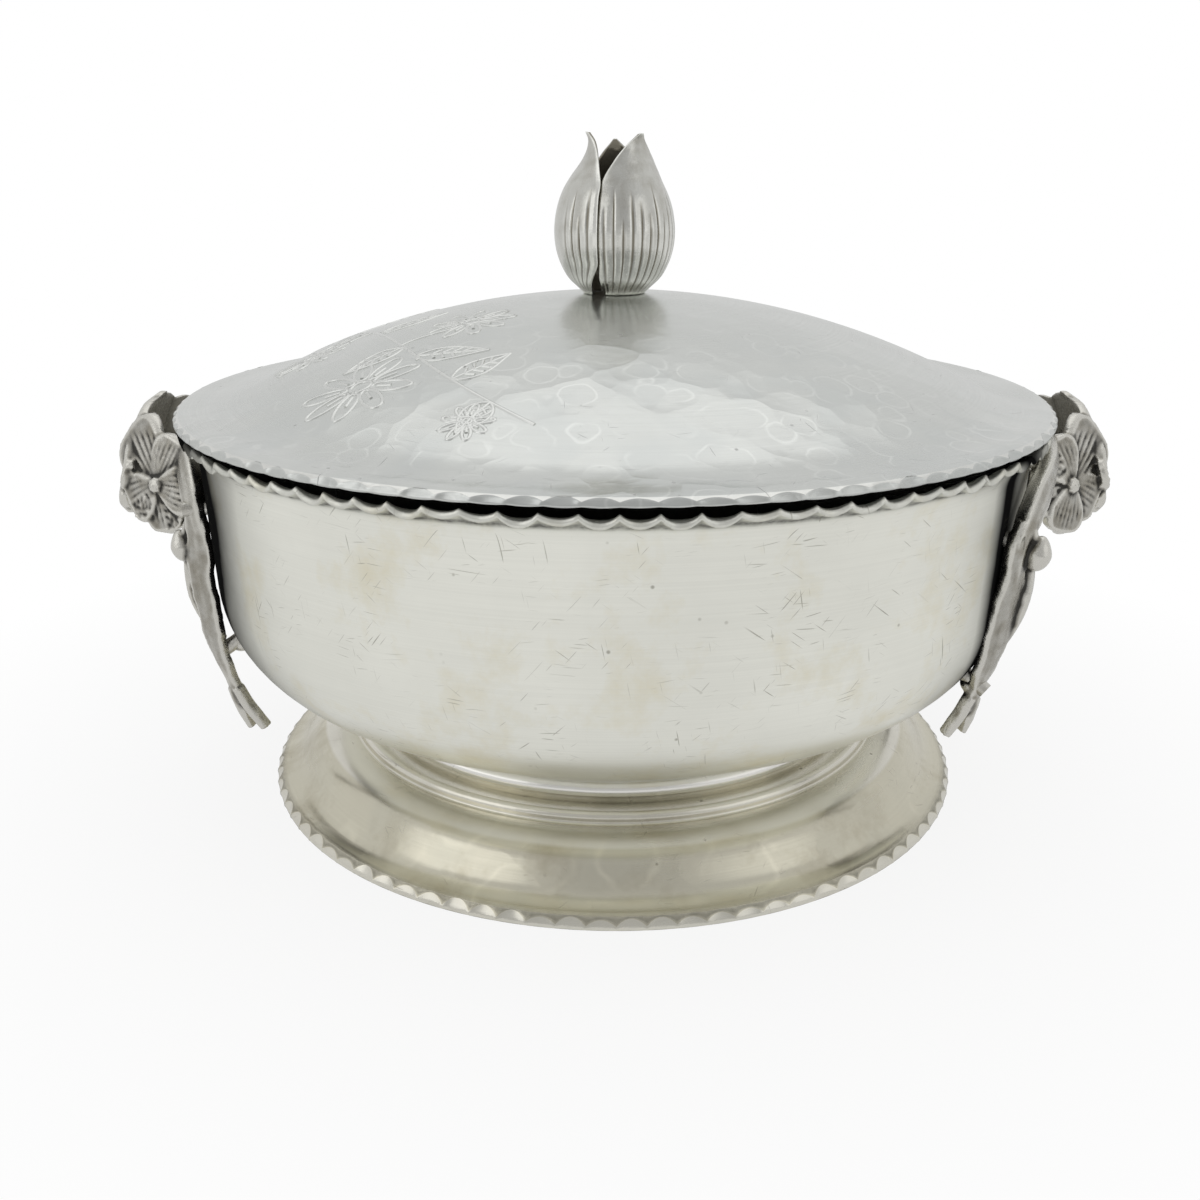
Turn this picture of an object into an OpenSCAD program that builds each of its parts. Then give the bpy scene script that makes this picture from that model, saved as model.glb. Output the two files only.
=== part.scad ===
// Lidded serving dish: a spun and hammered aluminium bowl on a pedestal foot,
// with a loose domed lid, a tulip knob of folded petals and two riveted flower handles.
// Millimetres, +Z up. The origin is on the table, at the centre of the foot.

/* [Foot] */
// Outer radius of the edge that the dish stands on
foot_r = 102.5; // [98:0.5:112]
// Height of the foot, from the table to the bowl's base
foot_h = 20; // [17:0.5:28]
// Sheet thickness of the foot
foot_t = 1.5; // [1:0.1:1.7]
// Outer radius of the neck under the bowl
neck_r = 70.9; // [66:0.1:76]
// Height of the neck above the upper shelf
neck_h = 2; // [1.6:0.1:4]
// Radius of the round bead that is rolled into the neck
bead_r = 2; // [1.6:0.1:2.1]
// Width of the upper shelf around the neck
shelf_w = 7.6; // [6:0.1:9]
// Drop from the upper shelf to the lower one
shelf_drop = 3; // [2.8:0.1:4.5]
// Width of the lower shelf, before it rolls over
roll_w = 8.5; // [7:0.5:10]
// Rounding of the roll below the lower shelf
roll_fillet = 8; // [5:0.5:9]
// Width of the flare between the roll and the edge
flare_w = 6.5; // [5:0.5:8]
// Height of the flare's hollow above the table
flare_h = 4; // [3.4:0.1:6]
// Width of the hemmed edge
foot_hem_w = 3; // [2.5:0.1:3.5]
// Height of the hemmed edge
foot_hem_h = 2.5; // [2:0.1:3]
// Radius of the opening in the foot's top plate
foot_hole_r = 44; // [30:1:48]

/* [Bowl] */
// Outer radius of the wall where the lip turns out
mouth_r = 114.6; // [108:0.1:125]
// How much narrower the wall is at the knee than at the mouth
wall_taper = 2.3; // [0:0.1:4]
// Height of the bowl, from its base to the edge of its lip
bowl_h = 86.1; // [80:0.1:105]
// Sheet thickness of the bowl
bowl_t = 1.4; // [1:0.1:2]
// How far the flat base stays inside the neck
base_inset = 4.9; // [4.5:0.1:8]
// Rounding between the flat base and the sloping bottom
base_fillet = 8; // [4:0.5:12]
// Height of the knee above the base
knee_h = 26; // [22:0.2:29]
// Rounding of the knee
knee_fillet = 32; // [27:0.5:36]
// How far the turned-out lip overhangs the wall
lip_w = 4.6; // [4.5:0.1:6]
// How far the lip rises to its edge
lip_rise = 2.6; // [1.5:0.1:3.2]
// Rounding between the wall and the lip
lip_fillet = 8.5; // [5:0.1:9]

/* [Lid] */
// How far the lid's edge overhangs the bowl's lip
lid_overhang = 0.8; // [0:0.1:2]
// Sheet thickness of the lid
lid_t = 1.5; // [1:0.1:1.8]
// Radius of curvature of the dome
dome_r = 222; // [200:1:260]
// Radius of the flat seat under the knob
seat_r = 10; // [9:0.5:12]
// Width of the brim, from the dome's shoulder to the edge
brim_w = 22; // [20:0.5:25]
// Radius of the hollow where the dome turns into the brim
valley_r = 38; // [30:0.5:39]
// Fall of the hemmed edge, in degrees
hem_fall = 5; // [0:0.5:8]
// Width of the hemmed edge
lid_hem_w = 4.5; // [4:0.1:5.5]
// Height of the hemmed edge
lid_hem_h = 1.8; // [1.6:0.1:2.4]
// Depth of the ring under the lid that seats in the flared lip
plug_h = 6; // [5:0.1:8]
// Thickness of that ring
plug_t = 1.5; // [1:0.1:2]
// How far that ring reaches out over the turn of the lip
plug_out = 0.9; // [0.6:0.1:1.2]
// Clearance between that ring and the lip, where the lid rests
seat_gap = 0.3; // [0.2:0.05:0.4]

/* [Knob] */
// Largest radius of the tulip
tulip_r = 16.5; // [14:0.5:19]
// Height of the tulip above the lid
tulip_h = 41.8; // [36:0.5:48]
// Radius of the tulip at its base
tulip_base_r = 9; // [8:0.1:10]
// Radius of the ring on which the petal tips lie
tulip_tip_r = 7.2; // [5:0.1:9]
// Height of the notches between the petals
notch_h = 27; // [22:0.5:32]
// Thickness of the petals
petal_t = 1.2; // [0.9:0.1:1.5]
// Gap between neighbouring petals
petal_gap = 0.5; // [0.3:0.1:1]
// Radius of the tab at the foot of each petal
tab_r = 6.5; // [5.5:0.1:7]

/* [Handles] */
// Radius of the flower loop, in plan
loop_r = 28.5; // [26:0.5:31]
// Distance of the loop's centre inside the line of the wall
loop_in = 4.1; // [3:0.1:5]
// How much the loop leans in, for each unit of height
loop_lean = 0.2; // [0.1:0.01:0.26]
// Height over which the leaning loop bends in by one radius of the loop
loop_bend = 42; // [38:1:60]
// Height of the band that joins the flowers
band_h = 9; // [6:0.5:12]
// Thickness of the flowers and the band
flower_t = 2.4; // [2:0.1:3]
// Radius of a flower, from its centre to a petal's tip
flower_r = 14; // [12:0.5:15]
// How far the flower centres lie below the edge of the lip
flower_down = 14.6; // [13:0.1:18]
// Angle between neighbouring flowers around the loop
flower_step = 60; // [56:1:64]
// How far the outer flowers are turned in their own plane
flower_tilt = 30; // [20:1:36]
// Length of a flower's upper petal, compared with the others
long_petal = 1.25; // [1:0.05:1.3]
// Radius of the button at a flower's centre
button_r = 3; // [2.5:0.1:3.5]
// Angle around the bowl from straight out to the wide-set leg
wide_leg_turn = 33; // [31:0.5:35]
// Angle around the bowl from straight out to the close-set leg, on the other side
close_leg_turn = 17; // [16:0.1:18]
// Width of a ribbon leg
leg_w = 9; // [7:0.5:10]
// Thickness of a ribbon leg
leg_t = 2.8; // [2.2:0.1:3.2]
// Distance of the wide-set leg's middle line from the wall, at its top
wide_leg_out = 3; // [2.6:0.1:3.6]
// Distance of the close-set leg's middle line from the wall, at its top
close_leg_out = 4.3; // [3.8:0.1:5]
// How far the tops of the legs lie below the edge of the lip
leg_down = 8; // [7:0.5:10]
// Height of the wide-set leg, from its tail to its top
wide_leg_l = 67; // [63:1:71]
// Height of the close-set leg
close_leg_l = 78; // [74:1:82]
// How far the tails lie inside the line of the wall
tail_in = 8.9; // [8:0.1:10]
// Height of the straps that join the loop to the legs
strap_h = 8; // [6:0.5:9]
// Depth of the swallow-tail cut at the tail
tail_cut = 5; // [3:0.5:7]
// Radius of the bud on each leg
bud_r = 3.3; // [2.8:0.1:4]
// Width of the short ribbon end beside each leg
leaf_w = 5.5; // [4.5:0.5:6]
// Thickness of the short ribbon end
leaf_t = 2.2; // [1.8:0.1:2.6]
// How far the short ribbon end swings out in front of the leg's top
leaf_bulge = 4.7; // [4:0.1:5.5]
// How far its tip lies behind the leg's top
leaf_tuck = 5.5; // [4.5:0.1:6]

/* [Fasteners] */
// Radius of the rivet shanks
rivet_r = 2; // [1.5:0.1:2.4]
// Radius of the rivet heads
rivet_head_r = 3.8; // [3:0.1:4.5]
// Height of the rivet heads
rivet_head_h = 1.8; // [1.2:0.1:2.4]
// Radius of the bosses that hold the handles off the wall
boss_r = 3; // [2.8:0.1:3.6]
// How far the upper rivets lie below the edge of the lip
rivet_down = 21; // [18:0.5:26]
// How far the handle rivets stand out of the legs
rivet_proud = 0.5; // [0.3:0.1:1]
// How much further the legs stand off at the lower rivets than at their tops
knee_off = 1.5; // [1:0.1:2]
// Angle below level of the lower rivets, around the knee
rivet_knee = 33; // [28:1:40]
// Radius of the circle of rivets in the base
base_rivet_ring = 56; // [53:0.5:57]
// Number of rivets in the base
base_rivets = 4; // [3:1:8]
// Radius of the knob's screw
screw_r = 2; // [1.5:0.1:2.5]
// Radius of the screw's round head
screw_head_r = 3.8; // [3.2:0.1:4.4]
// Height of the screw's round head
screw_head_h = 2.4; // [1.8:0.1:3]
// Radius of the washer under the lid
washer_r = 7; // [6:0.1:9]
// Thickness of the washer
washer_t = 1; // [0.8:0.1:1.5]
// Radius of the nut, across its corners
nut_r = 4.4; // [3.8:0.1:5]
// Height of the nut
nut_h = 3; // [2:0.1:4]
// Clearance around shanks and between seated pieces
fit_gap = 0.05; // [0.03:0.01:0.15]

/* [Hidden] */
$fn = 64;

// Largest turn between neighbouring points on a rounded stretch, in degrees
arc_step = 6;
// Reach of a cut past the piece it cuts
over = 1;

// Heights and radii that several pieces share
lip_z = foot_h + bowl_h;
base_r = neck_r - base_inset;
knee_r = mouth_r - wall_taper;
lip_r = mouth_r + lip_w;
lid_r = lip_r + lid_overhang;
petal_count = 3;
sector = 360 / petal_count;

// Directions of the three petals, seen from above, in degrees
petal_left_turn = 190;
petal_right_turn = petal_left_turn + sector;
petal_back_turn = petal_right_turn + sector;

// Outlines of spun sheet

function unit(v) = v / norm(v);
function cross2(a, b) = a.x * b.y - a.y * b.x;

// Half the angle at the corner b between a and c
function half_angle(a, b, c) = acos(unit(a - b) * unit(c - b)) / 2;

// Centre of the arc of radius r that rounds that corner
function corner_centre(a, b, c, r) =
    b + unit(unit(a - b) + unit(c - b)) * r / sin(half_angle(a, b, c));

// Points of that arc
function corner(a, b, c, r) =
    let (
        half = half_angle(a, b, c),
        centre = corner_centre(a, b, c, r),
        first = b + unit(a - b) * r / tan(half) - centre,
        start = atan2(first.y, first.x),
        sweep = (180 - 2 * half) * sign(cross2(b - a, c - b)),
        steps = max(2, ceil(abs(sweep) / arc_step))
    )
    [for (i = [0:steps]) centre + r * [cos(start + sweep * i / steps), sin(start + sweep * i / steps)]];

// An outline with rounded corners: each entry is [x, z, radius], and radius 0 stays sharp
function rounded(p) = [
    for (i = [0:len(p) - 1])
        each (i == 0 || i == len(p) - 1 || p[i][2] == 0)
            ? [[p[i][0], p[i][1]]]
            : corner([p[i - 1][0], p[i - 1][1]], [p[i][0], p[i][1]], [p[i + 1][0], p[i + 1][1]], p[i][2])
];

// The outline moved sideways by t, to the left of its own direction
function beside(p, t) = [
    for (i = [0:len(p) - 1])
        let (
            d0 = unit(i == 0 ? p[1] - p[0] : p[i] - p[i - 1]),
            d1 = unit(i == len(p) - 1 ? p[i] - p[i - 1] : p[i + 1] - p[i]),
            n0 = [-d0.y, d0.x],
            n1 = [-d1.y, d1.x],
            m = unit(n0 + n1)
        )
        p[i] + m * t / (m * n1)
];

function reversed(p) = [for (i = [len(p) - 1:-1:0]) p[i]];

function without_last(p) = [for (i = [0:len(p) - 2]) p[i]];

// A cubic curve through a and d, drawn by b and c
function curve(a, b, c, d, steps) = [
    for (i = [0:steps])
        let (t = i / steps, s = 1 - t)
        a * s * s * s + b * 3 * s * s * t + c * 3 * s * t * t + d * t * t * t
];

module strip(p, t) {
    polygon(concat(p, reversed(beside(p, t))));
}

// Foot

shelf_z = foot_h - neck_h;
lower_z = shelf_z - shelf_drop;
shelf_r = neck_r + shelf_w;
roll_r = shelf_r + roll_w;
flare_r = foot_r - flare_w;
// Rounding of the shelf's edge, which wraps the sheet
bend_out = foot_t + 0.2;
// Rounding at the foot of the step
bend_in = 0.8;

// The foot's upper surface, from the opening in its top plate to its edge
foot_line = rounded([
    [foot_hole_r, foot_h, 0],
    [neck_r, foot_h, 0],
    [neck_r, shelf_z, 0],
    [shelf_r, shelf_z, bend_out],
    [shelf_r, lower_z, bend_in],
    [roll_r, lower_z, roll_fillet],
    [flare_r, flare_h, flare_w - foot_hem_w],
    [foot_r, foot_hem_h, 0]
]);

module base_rivet_places() {
    for (i = [0:base_rivets - 1])
        rotate([0, 0, (i + 0.5) * 360 / base_rivets])
            translate([base_rivet_ring, 0, foot_h])
                children();
}

module foot() {
    color("#b9b6a8")
        difference() {
            union() {
                rotate_extrude()
                    polygon(concat(
                        foot_line,
                        [[foot_r, 0], [foot_r - foot_hem_w, 0]],
                        reversed(beside(without_last(foot_line), -foot_t))
                    ));
                rotate_extrude()
                    translate([neck_r, foot_h])
                        circle(r = bead_r);
            }
            base_rivet_places()
                cylinder(r = rivet_r + fit_gap, h = 4 * foot_t, center = true);
        }
}

// Bowl

// Corners of the bowl's outer surface, before they are rounded
base_corner = [base_r, foot_h];
knee_corner = [knee_r, foot_h + knee_h];
mouth_corner = [mouth_r, lip_z - lip_rise];
lip_edge = [lip_r, lip_z];

bowl_line = rounded([
    [0, foot_h, 0],
    concat(base_corner, base_fillet),
    concat(knee_corner, knee_fillet),
    concat(mouth_corner, lip_fillet),
    concat(lip_edge, 0)
]);
knee_centre = corner_centre(base_corner, knee_corner, mouth_corner, knee_fillet);
lip_centre = corner_centre(knee_corner, mouth_corner, lip_edge, lip_fillet);

// The wall's outer radius at the upper rivets
rivet_z = lip_z - rivet_down;
rivet_wall_r = knee_r + wall_taper * (rivet_z - knee_corner.y) / (mouth_corner.y - knee_corner.y);

// Everything inside the bowl's outer surface, grown by a gap
module bowl_space(gap) {
    rotate_extrude()
        polygon(concat(beside(bowl_line, -gap), [[lip_r, lip_z + 2 * bowl_t], [0, lip_z + 2 * bowl_t]]));
}

// The two legs of a handle, the wide-set one first
legs = [0, 1];
leg_turns = [-wide_leg_turn, close_leg_turn];
leg_outs = [wide_leg_out, close_leg_out];
leg_ls = [wide_leg_l, close_leg_l];

// Rivet places of a handle, with the distance $off from the wall to the leg's middle line
module handle_rivet_places(side) {
    for (i = legs)
        rotate([0, 0, side + leg_turns[i]]) {
            let ($off = leg_outs[i])
                translate([rivet_wall_r, 0, rivet_z])
                    rotate([0, 90, 0])
                        children();
            let ($off = leg_outs[i] + knee_off)
                translate([knee_centre.x, 0, knee_centre.y])
                    rotate([0, 90 + rivet_knee, 0])
                        translate([0, 0, knee_fillet])
                            children();
        }
}

module bowl() {
    hole_l = 6 * bowl_t;
    color("#d5d3cb")
        difference() {
            rotate_extrude()
                strip(bowl_line, bowl_t);
            base_rivet_places()
                cylinder(r = rivet_r + fit_gap, h = hole_l, center = true);
            for (side = [0, 180])
                handle_rivet_places(side)
                    cylinder(r = rivet_r + fit_gap, h = hole_l, center = true);
        }
}

// A rivet head: a low dome on the plane z = 0
module rivet_head(r, h) {
    ball_r = (r * r + h * h) / (2 * h);
    intersection() {
        translate([0, 0, h - ball_r])
            sphere(r = ball_r);
        cylinder(r = r + over, h = h + over);
    }
}

module foot_rivets() {
    color("#c4c2b8")
        base_rivet_places() {
            translate([0, 0, bowl_t + fit_gap])
                rivet_head(rivet_head_r, rivet_head_h);
            translate([0, 0, -foot_t - fit_gap])
                mirror([0, 0, 1])
                    rivet_head(rivet_head_r, rivet_head_h);
            translate([0, 0, -foot_t - 2 * fit_gap])
                cylinder(r = rivet_r, h = foot_t + bowl_t + 4 * fit_gap);
        }
}

// Lid

shoulder_r = lid_r - brim_w;
dome_start = asin(seat_r / dome_r);
dome_turn = asin(shoulder_r / dome_r);
dome_steps = ceil((dome_turn - dome_start) / 2);
valley_steps = 8;
// Slope at which the hollow runs out at the hemmed edge
valley_end_turn = 1;

// The lid's upper surface, with its apex at height 0
dome_line = [
    for (i = [0:dome_steps])
        let (a = dome_start + (dome_turn - dome_start) * i / dome_steps)
        [dome_r * sin(a), dome_r * (cos(a) - cos(dome_start))]
];
valley_line = [
    for (i = [1:valley_steps])
        let (a = dome_turn + (valley_end_turn - dome_turn) * i / valley_steps)
        dome_line[dome_steps] + valley_r * [sin(dome_turn) - sin(a), cos(dome_turn) - cos(a)]
];
valley_end = valley_line[valley_steps - 1];
hem_start = [lid_r - lid_hem_w, valley_end.y];
hem_end = [lid_r, hem_start.y - lid_hem_w * tan(hem_fall)];
lid_line = concat([[0, 0]], dome_line, valley_line, [hem_start, hem_end]);
hem_bottom = hem_end.y - lid_hem_h;

// The ring under the lid rests by its lower outer corner on the turn of the lip
plug_r = mouth_r - bowl_t + plug_out;
plug_z = lip_centre.y
    + sqrt(pow(lip_fillet + bowl_t + seat_gap, 2) - pow(lip_centre.x - plug_r, 2));
// Height of the lid's apex, from the ring's lower edge up
apex_z = plug_z + plug_h + lid_t - hem_start.y;

module lid() {
    color("#cfd0ce")
        translate([0, 0, apex_z])
            difference() {
                union() {
                    rotate_extrude()
                        polygon(concat(
                            lid_line,
                            [[lid_r, hem_bottom], [lid_r - lid_hem_w, hem_bottom]],
                            [[lid_r - lid_hem_w, hem_start.y - lid_t]],
                            reversed(beside(without_last(without_last(lid_line)), -lid_t))
                        ));
                    rotate_extrude()
                        translate([plug_r - plug_t, plug_z - apex_z])
                            square([plug_t, plug_h + lid_t / 2]);
                }
                cylinder(r = screw_r + fit_gap, h = 4 * lid_t, center = true);
            }
}

// Knob

// The tulip's outer outline, from its base to a petal's tip
tulip_line = curve(
    [tulip_base_r, 0],
    [tulip_r * 8 / 3 - tulip_base_r * 0.8 - tulip_tip_r * 2.4, tulip_h * 0.17],
    [tulip_r * 8 / 3 - tulip_base_r * 0.95 - tulip_tip_r * 2.3, tulip_h * 0.57],
    [tulip_tip_r, tulip_h],
    20
);

// The tulip's inner outline
tulip_inner = beside(tulip_line, petal_t);

function above(p, z) = [for (q = p) if (q.y > z + 0.05) q];
function radius_at(p, z) = lookup(z, [for (q = p) [q.y, q.x]]);

// Section of a petal whose tab lies at height z, with a foot that reaches in to the tab.
// The foot is a little thinner than the tab, so that no two of their faces coincide.
function petal_section(z) =
    let (low = z + 0.1 * petal_t, high = z + 0.9 * petal_t, in_r = tab_r - petal_t)
    concat(
        [[in_r, low], [radius_at(tulip_line, low), low]],
        above(tulip_line, low),
        reversed(above(tulip_inner, high)),
        [[radius_at(tulip_inner, high), high], [in_r, high]]
    );

// Outline of a petal, seen from straight ahead: one side, from the notch up to the tip
petal_edge = curve(
    [tulip_r, notch_h],
    [tulip_r * 0.5, tulip_h * 0.78],
    [tulip_r * 0.2, tulip_h * 0.92],
    [0, tulip_h + petal_t],
    12
);

// One petal that faces +X: its tab is the given layer of the stack on the screw
module petal(layer) {
    tab_z = layer * (petal_t + fit_gap);
    gap_turn = petal_gap / tulip_r * 90 / PI;
    far = tulip_r + over;
    difference() {
        union() {
            intersection() {
                rotate([0, 0, gap_turn - sector / 2])
                    rotate_extrude(angle = sector - 2 * gap_turn)
                        polygon(petal_section(tab_z));
                rotate([90, 0, 90])
                    linear_extrude(height = far)
                        polygon(concat(
                            [[-far, notch_h], [-far, -over], [far, -over], [far, notch_h]],
                            petal_edge,
                            reversed([for (q = without_last(petal_edge)) [-q.x, q.y]])
                        ));
            }
            translate([0, 0, tab_z])
                cylinder(r = tab_r, h = petal_t);
        }
        cylinder(r = screw_r + fit_gap, h = 3 * petal_count * petal_t, center = true);
    }
}

module petal_left() {
    color("#c9c9c4")
        translate([0, 0, apex_z + fit_gap])
            rotate([0, 0, petal_left_turn])
                petal(0);
}

module petal_right() {
    color("#c9c9c4")
        translate([0, 0, apex_z + fit_gap])
            rotate([0, 0, petal_right_turn])
                petal(1);
}

module petal_back() {
    color("#c9c9c4")
        translate([0, 0, apex_z + fit_gap])
            rotate([0, 0, petal_back_turn])
                petal(2);
}

tab_stack = petal_count * (petal_t + fit_gap) + fit_gap;
washer_top = apex_z - lid_t - fit_gap;
nut_top = washer_top - washer_t - fit_gap;
slot_w = 1.2;

module knob_screw() {
    shank_top = apex_z + tab_stack;
    shank_bottom = nut_top - nut_h - over;
    color("#8f8f8a")
        difference() {
            union() {
                translate([0, 0, shank_bottom])
                    cylinder(r = screw_r, h = shank_top - shank_bottom + fit_gap);
                translate([0, 0, shank_top])
                    rivet_head(screw_head_r, screw_head_h);
            }
            translate([-screw_head_r - over, -slot_w / 2, shank_top + screw_head_h / 2])
                cube([2 * (screw_head_r + over), slot_w, screw_head_h]);
        }
}

module knob_washer() {
    color("#a5a5a0")
        translate([0, 0, washer_top - washer_t])
            difference() {
                cylinder(r = washer_r, h = washer_t);
                translate([0, 0, -over])
                    cylinder(r = screw_r + fit_gap, h = washer_t + 2 * over);
            }
}

module knob_nut() {
    color("#8f8f8a")
        translate([0, 0, nut_top - nut_h])
            difference() {
                cylinder(r = nut_r, h = nut_h, $fn = 6);
                translate([0, 0, -over])
                    cylinder(r = screw_r + fit_gap, h = nut_h + 2 * over);
            }
}

// Handles

loop_x = mouth_r - loop_in;
flower_z = lip_z - flower_down;
leg_top_z = lip_z - leg_down;
petals_round = 5;

// Middle line of leg i, in its own upright plane: [distance from the axis, height]
function leg_line(i) =
    let (top = [mouth_r + leg_outs[i], leg_top_z], l = leg_ls[i])
    curve(
        top,
        top + [-0.36 * leg_t, -0.31 * l],
        [mouth_r + 0.21 * leg_t, top.y - 0.64 * l],
        [mouth_r - tail_in, top.y - l],
        16
    );

// Middle line of the short ribbon end beside leg i
function leaf_line(i) =
    let (top = [mouth_r + leg_outs[i], leg_top_z], l = leg_ls[i])
    curve(
        top + [-0.36 * leaf_t, -0.27 * l],
        top + [leaf_bulge, -0.40 * l],
        top + [0.15 * leaf_bulge, -0.54 * l],
        top + [-leaf_tuck, -0.68 * l],
        10
    );
function leaf_turn(i) =
    leg_turns[i] - sign(leg_turns[i]) * asin((leg_w + leaf_w) / 2 / mouth_r) * 0.8;

// Section of the loop's leaning sheet: its middle line, by height over the flower centres
function loop_line(low, high, steps) = [
    for (i = [0:steps])
        let (b = low + (high - low) * i / steps)
        [loop_r - loop_lean * b - loop_r * b * b / loop_bend / loop_bend, b]
];

module ribbon(line, t, w) {
    rotate([90, 0, 0])
        linear_extrude(height = w, center = true)
            strip(beside(line, t / 2), -t);
}

// Five round petals, in the plane that a flower faces; the first is the long one
module rosette() {
    for (i = [0:petals_round - 1])
        rotate([0, 0, 90 + i * 360 / petals_round])
            translate([flower_r * (i == 0 ? long_petal - 0.43 : 0.57), 0])
                circle(r = flower_r * 0.43);
    circle(r = flower_r * 0.5);
}

// The loop: one leaning sheet, cut to the outline of three flowers and the band behind them
module loop() {
    reach = 1.4 * flower_r;
    far = 2 * loop_r;
    intersection() {
        rotate([0, 0, 180])
            rotate_extrude()
                strip(beside(loop_line(-reach, reach, 6), flower_t / 2), -flower_t);
        union() {
            for (i = [-1:1])
                rotate([0, 0, i * flower_step])
                    rotate([90, 0, 90])
                        linear_extrude(height = far)
                            rotate([0, 0, i * flower_tilt])
                                rosette();
            translate([0, -far, -band_h / 2])
                cube([far, 2 * far, band_h]);
        }
    }
    for (i = [-1:1])
        rotate([0, 0, i * flower_step])
            translate([loop_r + flower_t / 2 - button_r / 2, 0, 0])
                sphere(r = button_r);
}

module leg(i) {
    bud_at = leg_line(i)[5];
    difference() {
        union() {
            ribbon(leg_line(i), leg_t, leg_w);
            translate([bud_at.x + leg_t / 2 + bud_r / 2, 0, bud_at.y])
                sphere(r = bud_r);
        }
        // Swallow-tail cut
        translate([mouth_r - tail_in, 0, leg_top_z - leg_ls[i]])
            rotate([90, 0, 90])
                linear_extrude(height = 8 * leg_t, center = true)
                    polygon([[-leg_w / 3, -over], [leg_w / 3, -over], [0, tail_cut]]);
    }
}

// The strap along the lip, from the end of the loop to leg i
module strap(i) {
    loop_turn = atan(0.97 * loop_r / loop_x);
    rotate([0, 0, i == 0 ? leg_turns[i] : loop_turn])
        rotate_extrude(angle = abs(leg_turns[i]) - loop_turn)
            translate([mouth_r + leg_outs[i] - leg_t / 2, leg_top_z - strap_h * 0.75])
                square([leg_t, strap_h]);
}

module handle() {
    difference() {
        union() {
            translate([loop_x, 0, flower_z])
                loop();
            for (i = legs) {
                strap(i);
                rotate([0, 0, leg_turns[i]])
                    leg(i);
                rotate([0, 0, leaf_turn(i)])
                    ribbon(leaf_line(i), leaf_t, leaf_w);
            }
            handle_rivet_places(0)
                cylinder(r = boss_r, h = $off + leg_t / 4);
        }
        bowl_space(fit_gap);
        handle_rivet_places(0)
            cylinder(r = rivet_r + fit_gap, h = 8 * leg_t, center = true);
    }
}

module handle_right() {
    color("#aeada6") handle();
}

module handle_left() {
    color("#aeada6") rotate([0, 0, 180]) handle();
}

// The rivets of one handle: a head inside the bowl, a shank and a head on the leg
module handle_rivets(side) {
    head_sag = rivet_head_r * rivet_head_r / knee_fillet;
    color("#c4c2b8")
        handle_rivet_places(side) {
            translate([0, 0, -bowl_t - head_sag])
                mirror([0, 0, 1])
                    rivet_head(rivet_head_r, rivet_head_h);
            translate([0, 0, -bowl_t - head_sag - fit_gap])
                cylinder(r = rivet_r, h = bowl_t + head_sag + fit_gap + $off + leg_t / 2 + rivet_proud);
        }
}

module handle_right_rivets() { handle_rivets(0); }

module handle_left_rivets() { handle_rivets(180); }

foot();
bowl();
foot_rivets();
lid();
petal_left();
petal_right();
petal_back();
knob_screw();
knob_washer();
knob_nut();
handle_left();
handle_right();
handle_left_rivets();
handle_right_rivets();
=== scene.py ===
# %% [markdown]
# # A hammered aluminium serving dish with a lid
#
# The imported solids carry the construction: a spun bowl on a stepped foot, a loose domed lid,
# a tulip knob of three petals and two cast handles. This script dresses them. Spun sheet comes
# from one Geometry Nodes tree that turns an outline around the axis and hammers its edge.
# Cast flowers are bent around the handle's loop and melted into one skin.

# %% Load the frame
import math

import bmesh
import bpy
import numpy as np
from mathutils import Matrix, Vector


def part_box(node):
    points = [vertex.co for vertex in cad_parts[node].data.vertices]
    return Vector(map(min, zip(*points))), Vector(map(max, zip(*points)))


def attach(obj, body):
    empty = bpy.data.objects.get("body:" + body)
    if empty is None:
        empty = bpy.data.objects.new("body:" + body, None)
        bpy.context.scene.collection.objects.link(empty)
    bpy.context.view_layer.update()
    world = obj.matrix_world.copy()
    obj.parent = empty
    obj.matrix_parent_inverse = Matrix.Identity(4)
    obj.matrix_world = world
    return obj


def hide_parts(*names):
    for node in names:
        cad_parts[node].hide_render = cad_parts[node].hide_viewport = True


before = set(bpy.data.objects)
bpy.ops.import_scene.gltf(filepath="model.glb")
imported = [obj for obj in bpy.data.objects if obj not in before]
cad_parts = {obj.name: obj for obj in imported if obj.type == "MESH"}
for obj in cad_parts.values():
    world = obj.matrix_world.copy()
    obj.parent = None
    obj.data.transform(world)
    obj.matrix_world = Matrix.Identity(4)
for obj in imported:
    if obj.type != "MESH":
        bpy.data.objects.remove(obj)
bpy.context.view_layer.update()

MM = 0.001

# %% [markdown]
# ## Outlines of spun sheet
#
# A spun piece is one outline turned around an axis. The outline is drawn in millimetres as a few
# corners, each with the radius of its bend, and the sheet's other face lies beside it at the
# sheet's thickness. The numbers are those of the solids, so that each skin lies on its solid.

# %% Outline helpers
def unit(v):
    """A vector, or each row of vectors, at the length 1."""
    return v / np.linalg.norm(v, axis=-1, keepdims=True)


def rounded(corners, step=5.0):
    """Points of an outline: each corner is (radius from the axis, height, bend radius)."""
    points = []
    for i, (x, z, bend) in enumerate(corners):
        here = np.array([x, z], float)
        if i in (0, len(corners) - 1) or bend == 0:
            points.append(here)
            continue
        back = unit(np.array(corners[i - 1][:2], float) - here)
        ahead = unit(np.array(corners[i + 1][:2], float) - here)
        half = math.acos(np.clip(back @ ahead, -1, 1)) / 2
        centre = here + unit(back + ahead) * bend / math.sin(half)
        first = here + back * bend / math.tan(half) - centre
        side = np.sign(ahead[1] * -back[0] - ahead[0] * -back[1])
        sweep = (math.pi - 2 * half) * side
        count = max(2, math.ceil(math.degrees(abs(sweep)) / step))
        start = math.atan2(first[1], first[0])
        for k in range(count + 1):
            a = start + sweep * k / count
            points.append(centre + bend * np.array([math.cos(a), math.sin(a)]))
    return np.array(points)


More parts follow.
